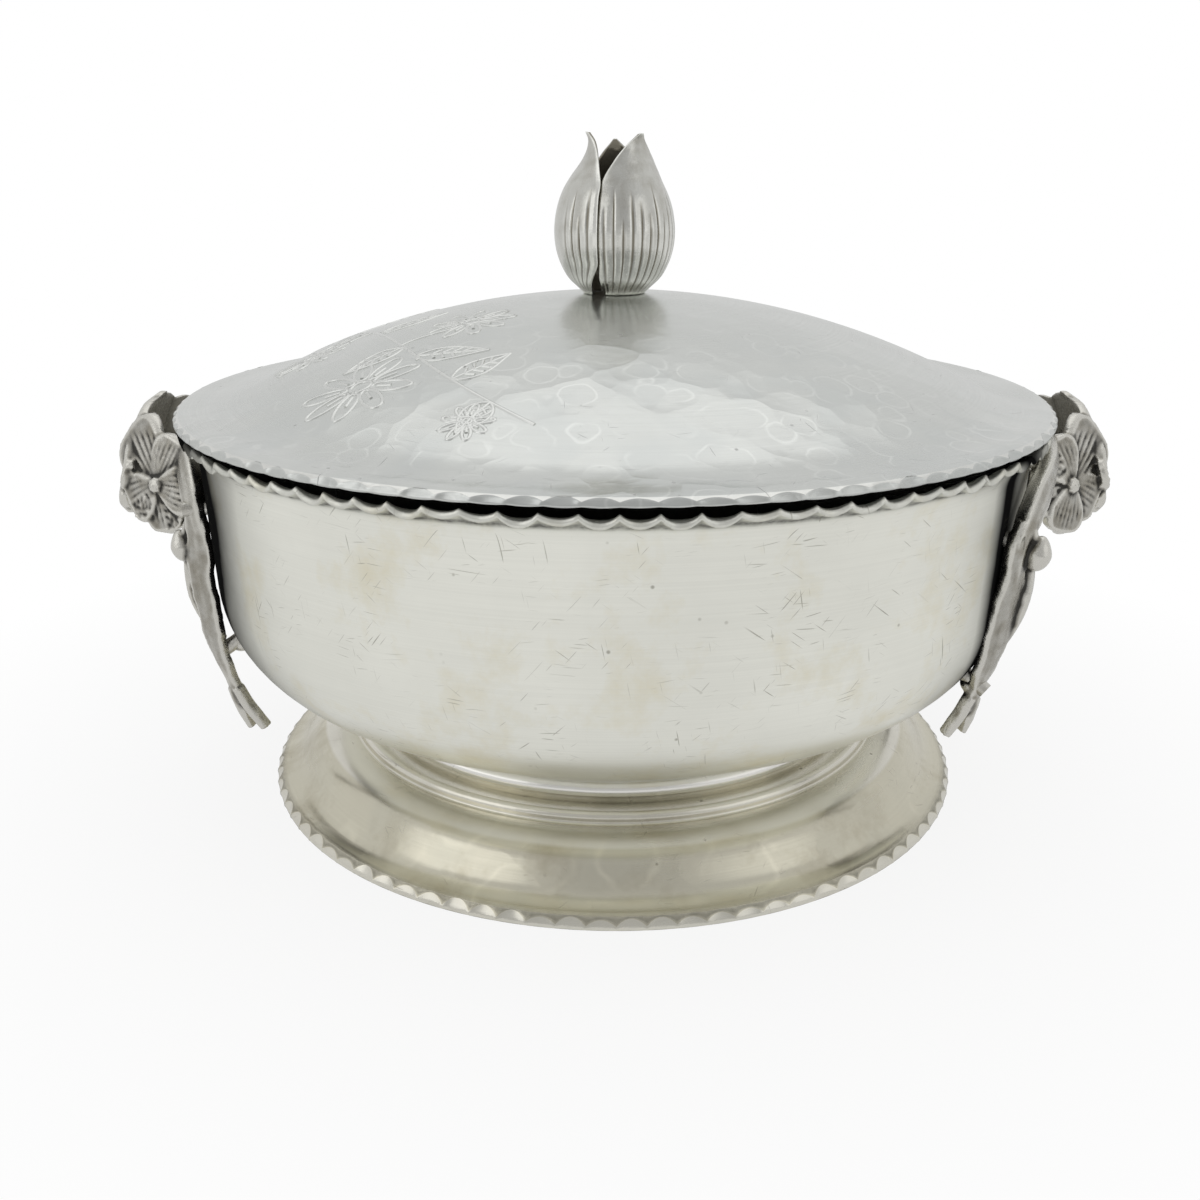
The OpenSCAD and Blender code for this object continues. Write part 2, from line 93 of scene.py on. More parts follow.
def beside(points, distance):
    """The line at a distance to the left of an outline."""
    ahead = unit(np.gradient(points, axis=0))
    return points + np.stack([-ahead[:, 1], ahead[:, 0]], axis=1) * distance


def refine(points, length):
    """The same outline with extra points, so that no stretch is longer than the given length."""
    result = [points[0]]
    for a, b in zip(points[:-1], points[1:]):
        count = max(1, math.ceil(np.linalg.norm(b - a) / length))
        result += [a + (b - a) * k / count for k in range(1, count + 1)]
    return np.array(result)


# %% [markdown]
# ## Trees of nodes, written as formulas
#
# Shapes and finishes are both trees of nodes. A small class lets the output of a node be added,
# multiplied and compared like a number, and each such step puts one more node into the same tree.
# A tree then reads like the formula that it stands for.

# %% Values and nodes
class Value:
    """An output of a node. What is calculated with it becomes more nodes of its tree."""

    def __init__(self, socket):
        self.socket, self.tree = socket, socket.id_data


def plug(socket, value):
    """Gives a socket its input: a link from another node, or a constant."""
    if isinstance(value, Value):
        value.tree.links.new(value.socket, socket)
    else:
        socket.default_value = value


def add_node(tree, kind, inputs=None, output=0, **settings):
    """A new node with its settings and inputs. One of its outputs comes back as a value."""
    node = tree.nodes.new(kind)
    for name, setting in settings.items():
        setattr(node, name, setting)
    for key, value in (inputs or {}).items():
        plug(node.inputs[key], value)
    return Value(node.outputs[output])


def outputs_of(tree, kind):
    return {socket.name: Value(socket) for socket in tree.nodes.new(kind).outputs}


def tree_of(*values):
    return next(value.tree for value in values if isinstance(value, Value))


def calculate(operation, a, b=0.0):
    return add_node(tree_of(a, b), "ShaderNodeMath", {0: a, 1: b}, operation=operation)


for word, operation in (("add", "ADD"), ("sub", "SUBTRACT"), ("mul", "MULTIPLY"), ("truediv", "DIVIDE")):
    setattr(Value, f"__{word}__", lambda a, b, kind=operation: calculate(kind, a, b))
    setattr(Value, f"__r{word}__", lambda a, b, kind=operation: calculate(kind, b, a))
Value.__abs__ = lambda a: calculate("ABSOLUTE", a)
Value.__lt__ = lambda a, b: calculate("LESS_THAN", a, b)
Value.__gt__ = lambda a, b: calculate("GREATER_THAN", a, b)


def greatest(a, b):
    return calculate("MAXIMUM", a, b)


def vector(x=0.0, y=0.0, z=0.0):
    return add_node(tree_of(x, y, z), "ShaderNodeCombineXYZ", {0: x, 1: y, 2: z})


def split(value):
    """The three parts of a vector."""
    first = add_node(value.tree, "ShaderNodeSeparateXYZ", {0: value})
    return [Value(socket) for socket in first.socket.node.outputs]


def vector_math(operation, a, b=(0, 0, 0), scale=1.0, output=0):
    inputs = {0: a, 1: b, 3: scale}
    return add_node(tree_of(a, b), "ShaderNodeVectorMath", inputs, output, operation=operation)


# %% [markdown]
# ## The tree that spins an outline
#
# On the real dish the edges are struck with a ball hammer against a stake, one blow beside the
# other, so each edge is a row of half-moon hollows that meet in small points. The tree takes the
# outline as its input mesh. A grid becomes the surface: one direction runs around the axis, the
# other along the outline. Each outline point carries how far a hammer blow pushes it, and a
# parabola that starts again with each blow shapes the row. An outline point also carries a tone:
# above 0 for painted shade, which darkens corners and edges, below 0 for a painted highlight.

# %% Spun sheet tree
def new_tree(name, counts, measures):
    """A tree with named inputs: a shape, counts, measures and a material."""
    tree = bpy.data.node_groups.new(name, "GeometryNodeTree")
    kinds = (("Geometry", ["Geometry"]), ("Int", counts), ("Float", measures), ("Material", ["Material"]))
    for kind, labels in kinds:
        for label in labels:
            tree.interface.new_socket(label, in_out="INPUT", socket_type="NodeSocket" + kind)
    tree.interface.new_socket("Geometry", in_out="OUTPUT", socket_type="NodeSocketGeometry")
    return tree, outputs_of(tree, "NodeGroupInput")


def end_tree(tree, given, shape):
    smooth = add_node(tree, "GeometryNodeSetShadeSmooth", {"Geometry": shape})
    whole = add_node(tree, "GeometryNodeRealizeInstances", {"Geometry": smooth})
    inputs = {"Geometry": whole, "Material": given["Material"]}
    plug(tree.nodes.new("NodeGroupOutput").inputs[0], add_node(tree, "GeometryNodeSetMaterial", inputs))
    return tree


def named(tree, name, kind="FLOAT"):
    """An attribute that the input mesh carries."""
    return add_node(tree, "GeometryNodeInputNamedAttribute", {"Name": name}, "Attribute", data_type=kind)


def moved(shape, **inputs):
    """A shape with its points at a new position or moved by an offset."""
    inputs = {key.title(): value for key, value in inputs.items()}
    return add_node(shape.tree, "GeometryNodeSetPosition", {"Geometry": shape, **inputs})


def spun_sheet_tree():
    tree, given = new_tree("spun sheet", ["Sides", "Blows", "Seed"], ["Unevenness"])
    outline = given["Geometry"]
    count = add_node(tree, "GeometryNodeAttributeDomainSize", {0: outline}, "Point Count")
    grid = add_node(tree, "GeometryNodeMeshGrid", {"Vertices X": given["Sides"] + 1, "Vertices Y": count})
    position = add_node(tree, "GeometryNodeInputPosition")
    x, y, _ = split(position)
    around = x + 0.5
    row = calculate("ROUND", (y + 0.5) * (count - 1))

    def on_outline(source, kind="FLOAT_VECTOR"):
        inputs = {"Geometry": outline, "Value": source, "Index": row}
        return add_node(tree, "GeometryNodeSampleIndex", inputs, "Value", data_type=kind)

    turns = around * given["Blows"]
    phase = calculate("FRACT", turns)
    strength = add_node(tree, "FunctionNodeRandomValue", {
        2: 1 - given["Unevenness"], 3: 1 + given["Unevenness"],
        "ID": calculate("FLOOR", turns), "Seed": given["Seed"],
    }, 1)
    hollow = phase * 4 * (1 - phase) * strength
    blow = vector_math("SCALE", on_outline(named(tree, "blow", "FLOAT_VECTOR")), scale=hollow)
    radius, _, height = split(vector_math("ADD", on_outline(position), blow))
    angle = around * (2 * math.pi)
    spun = vector(radius * calculate("COSINE", angle), radius * calculate("SINE", angle), height)
    toned = add_node(tree, "GeometryNodeStoreNamedAttribute", {
        "Geometry": grid, "Name": "tone", "Value": on_outline(named(tree, "tone"), "FLOAT"),
    })
    inputs = {"Geometry": moved(toned, position=spun), "Distance": 0.002 * MM}
    return end_tree(tree, given, add_node(tree, "GeometryNodeMergeByDistance", inputs))


SPUN_SHEET = spun_sheet_tree()
print("spun sheet tree:", len(SPUN_SHEET.nodes), "nodes")


# %% [markdown]
# A tree's result has to become a plain mesh before a piece rides on a body. The helper sets each
# input by its identifier, evaluates the object once and keeps the mesh that comes out. Faces are
# turned outwards at the end, because a grid doesn't know which of its sides is the outside.

# %% From tree to plain mesh
def plain_mesh(piece):
    """The mesh of a piece with its modifiers applied."""
    bpy.context.view_layer.update()
    return bpy.data.meshes.new_from_object(piece.evaluated_get(bpy.context.evaluated_depsgraph_get()))


def evaluate(piece, tree, **values):
    modifier = piece.modifiers.new("shape", "NODES")
    modifier.node_group = tree
    for item in tree.interface.items_tree:
        key = item.name.replace(" ", "_").lower()
        if item.in_out == "INPUT" and key in values:
            modifier[item.identifier] = values[key]
    mesh = plain_mesh(piece)
    piece.modifiers.remove(modifier)
    old, piece.data = piece.data, mesh
    bpy.data.meshes.remove(old)
    mesh.name = piece.name
    return piece


def face_outwards(piece):
    shape = bmesh.new()
    shape.from_mesh(piece.data)
    bmesh.ops.dissolve_degenerate(shape, dist=1e-7, edges=shape.edges)
    bmesh.ops.recalc_face_normals(shape, faces=shape.faces)
    if shape.calc_volume(signed=True) < 0:
        bmesh.ops.reverse_faces(shape, faces=shape.faces)
    shape.to_mesh(piece.data)
    shape.free()
    return piece


def add_object(name, data):
    thing = bpy.data.objects.new(name, data)
    bpy.context.scene.collection.objects.link(thing)
    return thing


def new_mesh(name, points, edges=(), faces=()):
    mesh = bpy.data.meshes.new(name)
    mesh.from_pydata(points, edges, faces)
    return mesh


def store(mesh, name, values, kind="FLOAT", field="value"):
    mesh.attributes.new(name, kind, "POINT").data.foreach_set(field, np.asarray(values, float).ravel())


def spin(name, outline, blow, tone, material, sides, blows, unevenness=0.25, seed=1):
    """A closed sheet: outline and blow are in millimetres, in the plane of radius and height."""
    flat, pushed = (np.insert(plane * MM, 1, 0.0, axis=1) for plane in (outline, blow))
    mesh = new_mesh(name, flat.tolist(), [(i, i + 1) for i in range(len(flat) - 1)])
    store(mesh, "blow", pushed, "FLOAT_VECTOR", "vector")
    store(mesh, "tone", tone)
    piece = face_outwards(evaluate(
        add_object(name, mesh), SPUN_SHEET, sides=sides, blows=blows, unevenness=unevenness, seed=seed,
        material=material,
    ))
    print(name, "faces:", len(piece.data.polygons))
    return piece


# %% [markdown]
# ## Finishes
#
# All of the dish is aluminium, but no two pieces have the same finish. A finish is mixed from a few
# kinds of texture, each with a helper of its own: noise, cells, and thin scratches, which are noise
# drawn out along one direction. A ramp picks a range of values out of a texture.

# %% Textures
def shader(name):
    material = bpy.data.materials.new(name)
    material.use_nodes = True
    tree = material.node_tree
    return material, tree, tree.nodes["Principled BSDF"]


def noise(place, scale, detail=3.0, roughness=0.5, output=0):
    inputs = {"Vector": place, "Scale": scale, "Detail": detail, "Roughness": roughness}
    return add_node(place.tree, "ShaderNodeTexNoise", inputs, output)


def ramp(value, low, high, start=0.0, end=1.0):
    inputs = {"Value": value, "From Min": low, "From Max": high, "To Min": start, "To Max": end}
    return add_node(value.tree, "ShaderNodeMapRange", inputs, "Result")


def cells(place, size):
    return add_node(place.tree, "ShaderNodeTexVoronoi", {"Vector": place, "Scale": 1 / size}, "Distance")


def scratches(flat, slant, scale, keep):
    """Thin marks along one slanting direction of the sheet: 1 in a mark and 0 beside it."""
    drawn_out = add_node(flat.tree, "ShaderNodeMapping", {
        "Vector": flat, "Location": (0, 0, slant), "Rotation": (0, 0, math.radians(slant)),
        "Scale": (20 / scale, 1 / scale, 1),
    }, vector_type="TEXTURE")
    return ramp(noise(drawn_out, 1.0, 1.0), keep, keep + 0.03)


def wavering(place, scale, amount):
    """The same coordinates, pushed a little to and fro, so that borders aren't straight."""
    inputs = {0: noise(place, scale, 2.0, output="Color"), 1: (amount, amount, amount), 2: place}
    return add_node(place.tree, "ShaderNodeVectorMath", inputs, operation="MULTIPLY_ADD")


def attribute(tree, name):
    return add_node(tree, "ShaderNodeAttribute", output="Fac", attribute_name=name)


def blend_colour(amount, a, b):
    a, b = ((*side, 1) if isinstance(side, tuple) else side for side in (a, b))
    return add_node(amount.tree, "ShaderNodeMix", {0: amount, 6: a, 7: b}, 2, data_type="RGBA")


def tinted(colour, by):
    """A colour times one number, or times a number for each channel."""
    return tuple(np.minimum(np.multiply(colour, by), 1.0).tolist())


def bump(metal, height, strength, distance):
    inputs = {"Strength": strength, "Distance": distance, "Height": height}
    plug(metal.inputs["Normal"], add_node(height.tree, "ShaderNodeBump", inputs))


# %% [markdown]
# Spun sheet keeps fine lines around the axis from the polishing wheel, under years of scratches,
# pits and brown tea stains. The lines need a texture that is stretched around the axis, so the
# finish turns Object coordinates into an angle, a radius and a height first. The lid and the foot
# also show shallow dishes of the hammer, with a painted highlight on the thin ridges between them
# and painted reflection patches. On the bowl, the sheet outside beside the legs is painted black as
# shade, standing in for the dark reflection of the legs, and mirrors less around it.

# %% Sheet aluminium
PAINTED_SHADE_BLACK, PAINTED_HIGHLIGHT, REFLECTION_GREY = (0.009, 0.009, 0.009), (0.86, 0.85, 0.81), (0.86, 0.875, 0.89)
WHEEL_LINES = 2500.0
SCRATCHES = ((4, 1900.0), (-9, 2400.0), (38, 1700.0), (-52, 2100.0), (80, 1500.0))


def scored_lines(place, flat, keep):
    """Scratches of several directions, gathered in patches."""
    scored = None
    for slant, scale in SCRATCHES:
        more = scratches(flat, slant, scale, keep)
        scored = more if scored is None else greatest(scored, more)
    return scored * ramp(noise(place, 60.0, 2.0), 0.46, 0.66)


def hammer_marks(place, y, size):
    """Dishes of the hammer as bumps, a painted highlight on the ridges between them and painted reflection
    patches, all clearest at the front.
    """
    hammered = wavering(place, 90.0, 0.006)
    front = ramp(y, -0.02, -0.075, 0.1, 1.0)
    dish = cells(hammered, size)
    ridge_highlight = ramp(abs(dish - 0.47), 0.0, 0.055, 1.0, 0.0)
    ridge_highlight = ridge_highlight * front * ramp(noise(place, 75.0, 2.0), 0.42, 0.62)
    reflection_patches = ramp(noise(hammered, 55.0, 1.0), 0.45, 0.62) * front
    return dish * dish * front, ridge_highlight, reflection_patches


def leg_shadows(place, x, y, z, broad):
    """Painted shade outside beside the legs, standing in for their dark reflection, and a dimmed reflection
    around it.
    """
    normal = outputs_of(place.tree, "ShaderNodeNewGeometry")["Normal"]
    outwards = vector_math("DOT_PRODUCT", place, normal, output="Value")
    outside = (outwards > 0) * ramp(z, 0.032, 0.044)
    # The wide legs stand where x and y differ in sign
    wide_leg = x * y < 0
    azimuth = calculate("ARCTAN2", abs(y), abs(x))
    from_leg = azimuth - wide_leg * 0.28
    edge = (from_leg - 0.29) * (wide_leg * 0.7 + 0.3) + ramp(broad, 0.3, 0.7, -0.01, 0.01)
    painted_shade = ramp(from_leg, 0.14, 0.30) * ramp(edge, 0.055, 0.12, 1.0, 0.0) * outside
    return painted_shade, ramp(azimuth, 0.65, 0.9, 1.0, 0.0) * outside


def sheet_aluminium(
    name, clean, stained, stain, roughness, lines, marks, rise=-1.0, dents=0.0, dent_size=None, painted_leg_shade=False,
):
    material, tree, metal = shader(name)
    place = outputs_of(tree, "ShaderNodeTexCoord")["Object"]
    x, y, z = split(place)
    radius = calculate("SQRT", x * x + y * y)
    wheel = vector(calculate("ARCTAN2", y, x) * 2.0, radius * WHEEL_LINES, z * WHEEL_LINES)
    unrolled = vector(calculate("ARCTAN2", x, y) * 0.11, z + radius * rise)
    brushed = noise(wheel, 1.0, 2.0)
    broad = noise(place, 22.0, 4.0, 0.6)
    patches = ramp(noise(place, 48.0, 5.0, 0.65), 0.5, 0.72)
    scored = scored_lines(place, unrolled, marks)
    pits = ramp(cells(place, 0.008), 0.03, 0.07, 1.0, 0.0) * ramp(noise(place, 30.0, 2.0), 0.42, 0.6)
    height = brushed * lines - scored * 0.04 - pits * 0.12

    colour = blend_colour(ramp(broad, 0.35, 0.65), clean, tinted(clean, 0.94))
    colour = blend_colour(patches * stain, colour, stained)
    colour = blend_colour(ramp(brushed, 0.3, 0.7) * 0.2, colour, tinted(clean, 0.8))
    if dents:
        dish, ridge_highlight, reflection_patches = hammer_marks(place, y, dent_size)
        # Painted reflection: grey patches on the hammered front, then a painted highlight on the ridges
        colour = blend_colour(reflection_patches * 0.45, colour, tinted(clean, REFLECTION_GREY))
        colour = blend_colour(ridge_highlight * (0.22 * dents), colour, tinted(clean, 1.28))
        height = height + dish * dents
    tone = attribute(tree, "tone")
    # A painted highlight where the tone is below 0
    colour = blend_colour(ramp(tone, 0.0, -1.0), colour, PAINTED_HIGHLIGHT)
    # Painted shade where the tone is above 0, in corners and along the struck edges, mixed towards black
    painted_shade = ramp(tone, 0.0, 1.0) * ramp(noise(place, 420.0, 3.0, 0.7), 0.3, 0.6, 0.55, 1.0)
    if painted_leg_shade:
        # Painted shade beside the legs, standing in for their dark reflection, and a dimmed reflection around
        # them
        shadow, dimmed_reflection = leg_shadows(place, x, y, z, broad)
        plug(metal.inputs["Specular Tint"], blend_colour(dimmed_reflection, (1.0, 1.0, 1.0), (0.4, 0.4, 0.4)))
        painted_shade = greatest(painted_shade, shadow)
    colour = blend_colour(painted_shade, colour, PAINTED_SHADE_BLACK)
    worn = greatest(scored, pits) * 0.58
    rough = ramp(broad, 0.3, 0.7, roughness - 0.03, roughness + 0.05) + brushed * 0.08
    plug(metal.inputs["Base Color"], blend_colour(worn, colour, tinted(stained, 0.28)))
    plug(metal.inputs["Metallic"], 1 - painted_shade)
    plug(metal.inputs["Specular IOR Level"], 0.0)
    plug(metal.inputs["Roughness"], rough + worn * 0.2)
    bump(metal, height, 1.0, 0.2 * MM)
    return material


BOWL_SHEET = sheet_aluminium(
    "bowl_sheet", (0.94, 0.94, 0.865), (0.80, 0.75, 0.57), 0.75, 0.31, 0.14, 0.715, rise=1.0, painted_leg_shade=True,
)
LID_SHEET = sheet_aluminium(
    "lid_sheet", (0.70, 0.715, 0.69), (0.64, 0.65, 0.63), 0.4, 0.2, 0.03, 0.745, dents=1.8, dent_size=0.009,
)
# A lighter copy of the lid's finish: a painted highlight on the spray's raised lines
SPRAY_HIGHLIGHTED_SHEET = sheet_aluminium(
    "spray_sheet", (0.78, 0.79, 0.765), (0.70, 0.71, 0.69), 0.3, 0.2, 0.02, 0.72,
)
FOOT_SHEET = sheet_aluminium(
    "foot_sheet", (0.675, 0.645, 0.53), (0.45, 0.41, 0.30), 0.8, 0.19, 0.05, 0.735, dents=1.6, dent_size=0.02,
)
print("sheet finishes:", BOWL_SHEET.name, LID_SHEET.name, SPRAY_HIGHLIGHTED_SHEET.name, FOOT_SHEET.name)

# %% [markdown]
# Cast pieces were dipped in a dark patina and wiped, so the recesses stay nearly black, and the
# finish adds painted shade there as well; the raised parts are lightened as a painted highlight.
# Each cast mesh carries an attribute that says how deep every point lies in a hollow, and the
# finish mixes two greys by it. A second attribute marks the inside of a handle, which was never
# polished and faces the bowl in shade; it is darkened as unpolished metal and as painted shade.
# Fine noise is the grain of the mould.

# %% Cast aluminium
CLOUDED, UNPOLISHED_AND_SHADED = (0.22, 0.24, 0.28), (0.36, 0.345, 0.31)


def cast_aluminium(name, bright, dark, roughness, recessed=True, grainy=1.0):
    material, tree, metal = shader(name)
    place = outputs_of(tree, "ShaderNodeTexCoord")["Object"]
    grain = noise(place, 1500.0, 4.0, 0.6)
    cloud = noise(place, 190.0, 4.0, 0.6)
    clouded = tinted(bright, 1 - np.multiply(CLOUDED, grainy))
    tint = blend_colour(ramp(cloud, 0.35, 0.65), bright, clouded)
    metallic = 1.0
    if recessed:
        depth = attribute(tree, "recess") + ramp(cloud, 0.2, 0.8, -0.07, 0.07)
        inside = attribute(tree, "inside")
        # Recesses go dark: dark patina, with painted shade on top of it
        tint = blend_colour(ramp(depth, 0.46, 0.74), tint, dark)
        # Painted highlight: the crests are lighter than the metal
        tint = blend_colour(ramp(depth, 0.42, 0.22), tint, tinted(bright, 1.42))
        # The inside, facing the bowl, is darkened as unpolished metal and as painted shade
        tint = blend_colour(inside * 0.7, tint, UNPOLISHED_AND_SHADED)
        metallic = 1 - greatest(ramp(depth, 0.6, 0.9, 0.0, 0.8), inside * 0.85)
    else:
        tint = blend_colour(ramp(grain, 0.6, 0.75), tint, dark)
    plug(metal.inputs["Base Color"], tint)
    plug(metal.inputs["Metallic"], metallic)
    plug(metal.inputs["Specular IOR Level"], 0.1)
    plug(metal.inputs["Roughness"], ramp(grain, 0.3, 0.7, roughness - 0.06, roughness + 0.08))
    bump(metal, grain, 0.6 * grainy, 0.15 * MM)
    return material


CAST = cast_aluminium("cast_aluminium", (0.47, 0.46, 0.425), (0.05, 0.048, 0.043), 0.25, grainy=1.3)
PETAL = cast_aluminium("petal_aluminium", (0.64, 0.64, 0.605), (0.27, 0.25, 0.20), 0.2, grainy=0.4)
PLAIN = cast_aluminium("rivet_aluminium", (0.70, 0.69, 0.65), (0.38, 0.37, 0.34), 0.33, recessed=False)
STEEL = cast_aluminium("screw_steel", (0.42, 0.42, 0.41), (0.2, 0.2, 0.19), 0.36, recessed=False)
print("cast finishes:", CAST.name, PETAL.name, PLAIN.name, STEEL.name)

# %% [markdown]
# ## The bowl
#
# The bowl is spun from one disc: a flat base, a slope, a round knee, a wall that leans out a
# little and a lip that turns out. Its outline runs along the outside up to the lip and back down
# along the inside, so the spun sheet is a closed solid. The lip's edge is hammered up and down.

# %% Bowl
FOOT_H, NECK_R = 20.0, 70.9
MOUTH_R, LIP_R, LIP_Z, BOWL_T = 114.6, 119.2, 106.1, 1.4
LIP_BLOWS, LID_BLOWS, FOOT_BLOWS = 92, 100, 88


def hump(x, middle, width):
    return np.exp(-((x - middle) / width) ** 2)


bowl_outside = refine(rounded([
    (0, FOOT_H, 0), (66, FOOT_H, 8), (112.3, 46, 32), (MOUTH_R, 103.5, 8.5), (LIP_R, LIP_Z, 0),
]), 4.2)
bowl_inside = beside(bowl_outside, BOWL_T)
bowl_inside[0, 0] = 0
lip_edge = [bowl_outside[-1] * (1 - k) + bowl_inside[-1] * k + [0.25, 0.2] for k in (0.25, 0.75)]
bowl_outline = np.concatenate([bowl_outside, lip_edge, bowl_inside[::-1]])
out_from_axis, up = bowl_outline.T
near_lip = np.clip((out_from_axis - 115.4) / 3.4, 0, 1) ** 1.3
bowl_blow = np.stack([-0.4 * near_lip, -1.7 * near_lip], axis=1)
# Painted shade darkens the corner under the lip, and the lip is a little darker
outer = np.arange(len(bowl_outline)) < len(bowl_outside)
bowl_tone = np.where(outer, 0.85 * hump(up, 104.2, 0.9), 0.0) + np.where(out_from_axis > 117.5, 0.2, 0)
bowl = spin("bowl_skin", bowl_outline, bowl_blow, bowl_tone, BOWL_SHEET, LIP_BLOWS * 8, LIP_BLOWS, 0.42, 3)

# %% [markdown]
# ## The foot
#
# The foot steps down in two shelves and rolls over into a flared edge. Each point of the edge is
# listed with its push at a blow and its tone. A round bead fills the corner under the bowl.

# %% Foot
FOOT_R, FOOT_T, HEM_W = 102.5, 1.5, 3.0


def strike(outline, rows):
    """The push at a blow and the tone of each outline point, where rows give them."""
    blow, tone = np.zeros_like(outline), np.zeros(len(outline))
    for point, push, shade in rows:
        nearest = np.argmin(np.linalg.norm(outline - point, axis=1))
        blow[nearest], tone[nearest] = push, shade
    return blow, tone


foot_top = np.concatenate([refine(rounded([
    (44, FOOT_H, 0), (NECK_R, FOOT_H, 0), (NECK_R, 18, 0), (78.5, 18, 1.7), (78.5, 15, 0.8),
    (87, 15, 12), (96.2, 3.9, 9), (100.6, 3.1, 0),
]), 2.5), [(100.9, 2.9), (101.7, 2.1)]])
foot_under = beside(foot_top, -FOOT_T)[:-6]
foot_hem = [
    (102.3, 1.3), (102.36, 1.2), (FOOT_R, 0.7), (FOOT_R, 0.25), (FOOT_R - 0.3, 0), (FOOT_R - HEM_W, 0),
]
foot_outline = np.concatenate([foot_top, foot_hem, foot_under[::-1], foot_top[:1]])[::-1]
# Tones: painted shade where the edge rolls over, and a painted reflection of the bright floor on the hem
foot_blow, foot_tone = strike(foot_outline, (
    ((100.6, 3.1), (0, 0), 0.2), ((100.9, 2.9), (-0.2, 0.12), 0.3), ((101.7, 2.1), (-0.93, 0.78), 0.5),
    ((102.3, 1.3), (-1.42, 1.46), 0.1), ((102.36, 1.2), (-1.42, 1.46), -0.35),
    ((FOOT_R, 0.7), (-0.75, 0.75), -0.45), ((FOOT_R, 0.25), (-0.25, 0.2), -0.45),
    ((FOOT_R - 0.3, 0), (0, 0), -0.4),
))
# The upper shelf gets a painted highlight, and painted shade darkens the corners at both of its sides
out_from_axis, up = foot_outline.T
shelf = up > 13.5
foot_tone += np.where(shelf & (out_from_axis > 72.5), -0.5, 0)
foot_tone += np.where(shelf, 0.2 * hump(out_from_axis, 73.4, 1.3) + 0.25 * hump(out_from_axis, 79.0, 0.8), 0)
foot = spin("foot_skin", foot_outline, foot_blow, foot_tone, FOOT_SHEET, FOOT_BLOWS * 7, FOOT_BLOWS, 0.3, 5)

# %% Neck bead
BEAD_R = 2
bead = np.array([
    (NECK_R + BEAD_R * math.cos(a), FOOT_H + 1 + BEAD_R * math.sin(a))
    for a in np.linspace(0, 2 * math.pi, 25)
])
# The bead is all tone -1: a painted highlight along it
neck_bead = spin("neck_bead", bead, np.zeros_like(bead), np.full(len(bead), -1.0), FOOT_SHEET, 240, 1)

# %% [markdown]
# ## The lid
#
# The lid's dome is part of a large sphere. It turns through a hollow into a narrow brim, and a ring
# underneath centres it in the bowl. The hammer marks on the dome come from its finish. The edge is
# struck, so that its corner draws back into a row of arches.

# %% Lid
LID_T, DOME_R, SEAT_R, SHOULDER_R, VALLEY_R = 1.5, 222.0, 10.0, 98.0, 38.0
RING_OUT, RING_IN = 114.1, 112.6
lid_low, lid_high = (np.array(corner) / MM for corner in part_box("lid"))
RING_Z, APEX_Z = lid_low[2], lid_high[2]
dome_start, dome_turn = math.asin(SEAT_R / DOME_R), math.asin(SHOULDER_R / DOME_R)
dome = [(0, 0)] + [
    (DOME_R * math.sin(a), DOME_R * (math.cos(a) - math.cos(dome_start)))
    for a in np.linspace(dome_start, dome_turn, 36)
]
valley = [
    (dome[-1][0] + VALLEY_R * (math.sin(dome_turn) - math.sin(a)),
     dome[-1][1] + VALLEY_R * (math.cos(dome_turn) - math.cos(a)))
    for a in np.linspace(dome_turn, math.radians(1), 16)[1:]
]
fall = valley[-1][1]
brim = [(115.5, fall), (117.0, fall - 0.16), (118.35, fall - 0.38)]
brim_z = APEX_Z + fall
# Tones of the struck edge: a painted highlight on the band above the arches, painted shade on the arches that
# face out and down
lid_hem = [
    ((118.5, -0.42), (-0.02, 0.02), -0.3), ((119.6, -1.10), (-1.04, 0.66), -0.6),
    ((119.66, -1.16), (-1.04, 0.66), 0.0), ((119.8, -1.5), (-0.85, 0.45), 0.12),
    ((119.85, -1.85), (-0.42, 0.12), 0.12), ((119.8, -2.1), (-0.05, -0.2), 0.1),
    ((119.45, -2.2), (0.0, -0.2), 0.2),
]
lid_top = refine(np.array(dome + valley + brim) + [0, APEX_Z], 3.0)
lid_edge = np.array([row[0] for row in lid_hem] + [(115.5, -2.2), (115.3, -LID_T)]) + [0, brim_z]
under_z = brim_z - LID_T
ring = [(RING_OUT, under_z + 0.05), (RING_OUT, RING_Z), (RING_IN, RING_Z), (RING_IN, under_z + 0.1)]
hollow_side = beside(np.array(dome[1:] + valley), -LID_T)
lid_under = refine(hollow_side[hollow_side[:, 0] < 112.4][::-1] + [0, APEX_Z], 6.0)
lid_outline = np.concatenate([lid_top, lid_edge, ring, lid_under, [[0, APEX_Z - LID_T]]])[::-1]
lid_blow, lid_tone = strike(lid_outline, [((x, z + brim_z), push, tone) for (x, z), push, tone in lid_hem])
lid = spin("lid_skin", lid_outline, lid_blow, lid_tone, LID_SHEET, LID_BLOWS * 8, LID_BLOWS, 0.34, 7)

# %% [markdown]
# ## The spray on the lid
#
# A picture is struck into the left of the lid as thin raised lines. This one is a plain vine of
# daisies. Stems and leaves are drawn flat, seen from above. A tree adds a daisy at each loose
# point, lays all the lines on the dome's sphere and gives them the round section of a bead that
# lies half in the sheet. Its finish is a lighter copy of the lid's, a painted highlight on the lines.

# %% Stems and leaves
def bezier(a, b, c, d, count):
    t = np.linspace(0, 1, count)[:, None]
    a, b, c, d = (np.array(p, float) for p in (a, b, c, d))
    return (1 - t) ** 3 * a + 3 * t * (1 - t) ** 2 * b + 3 * t * t * (1 - t) * c + t ** 3 * d


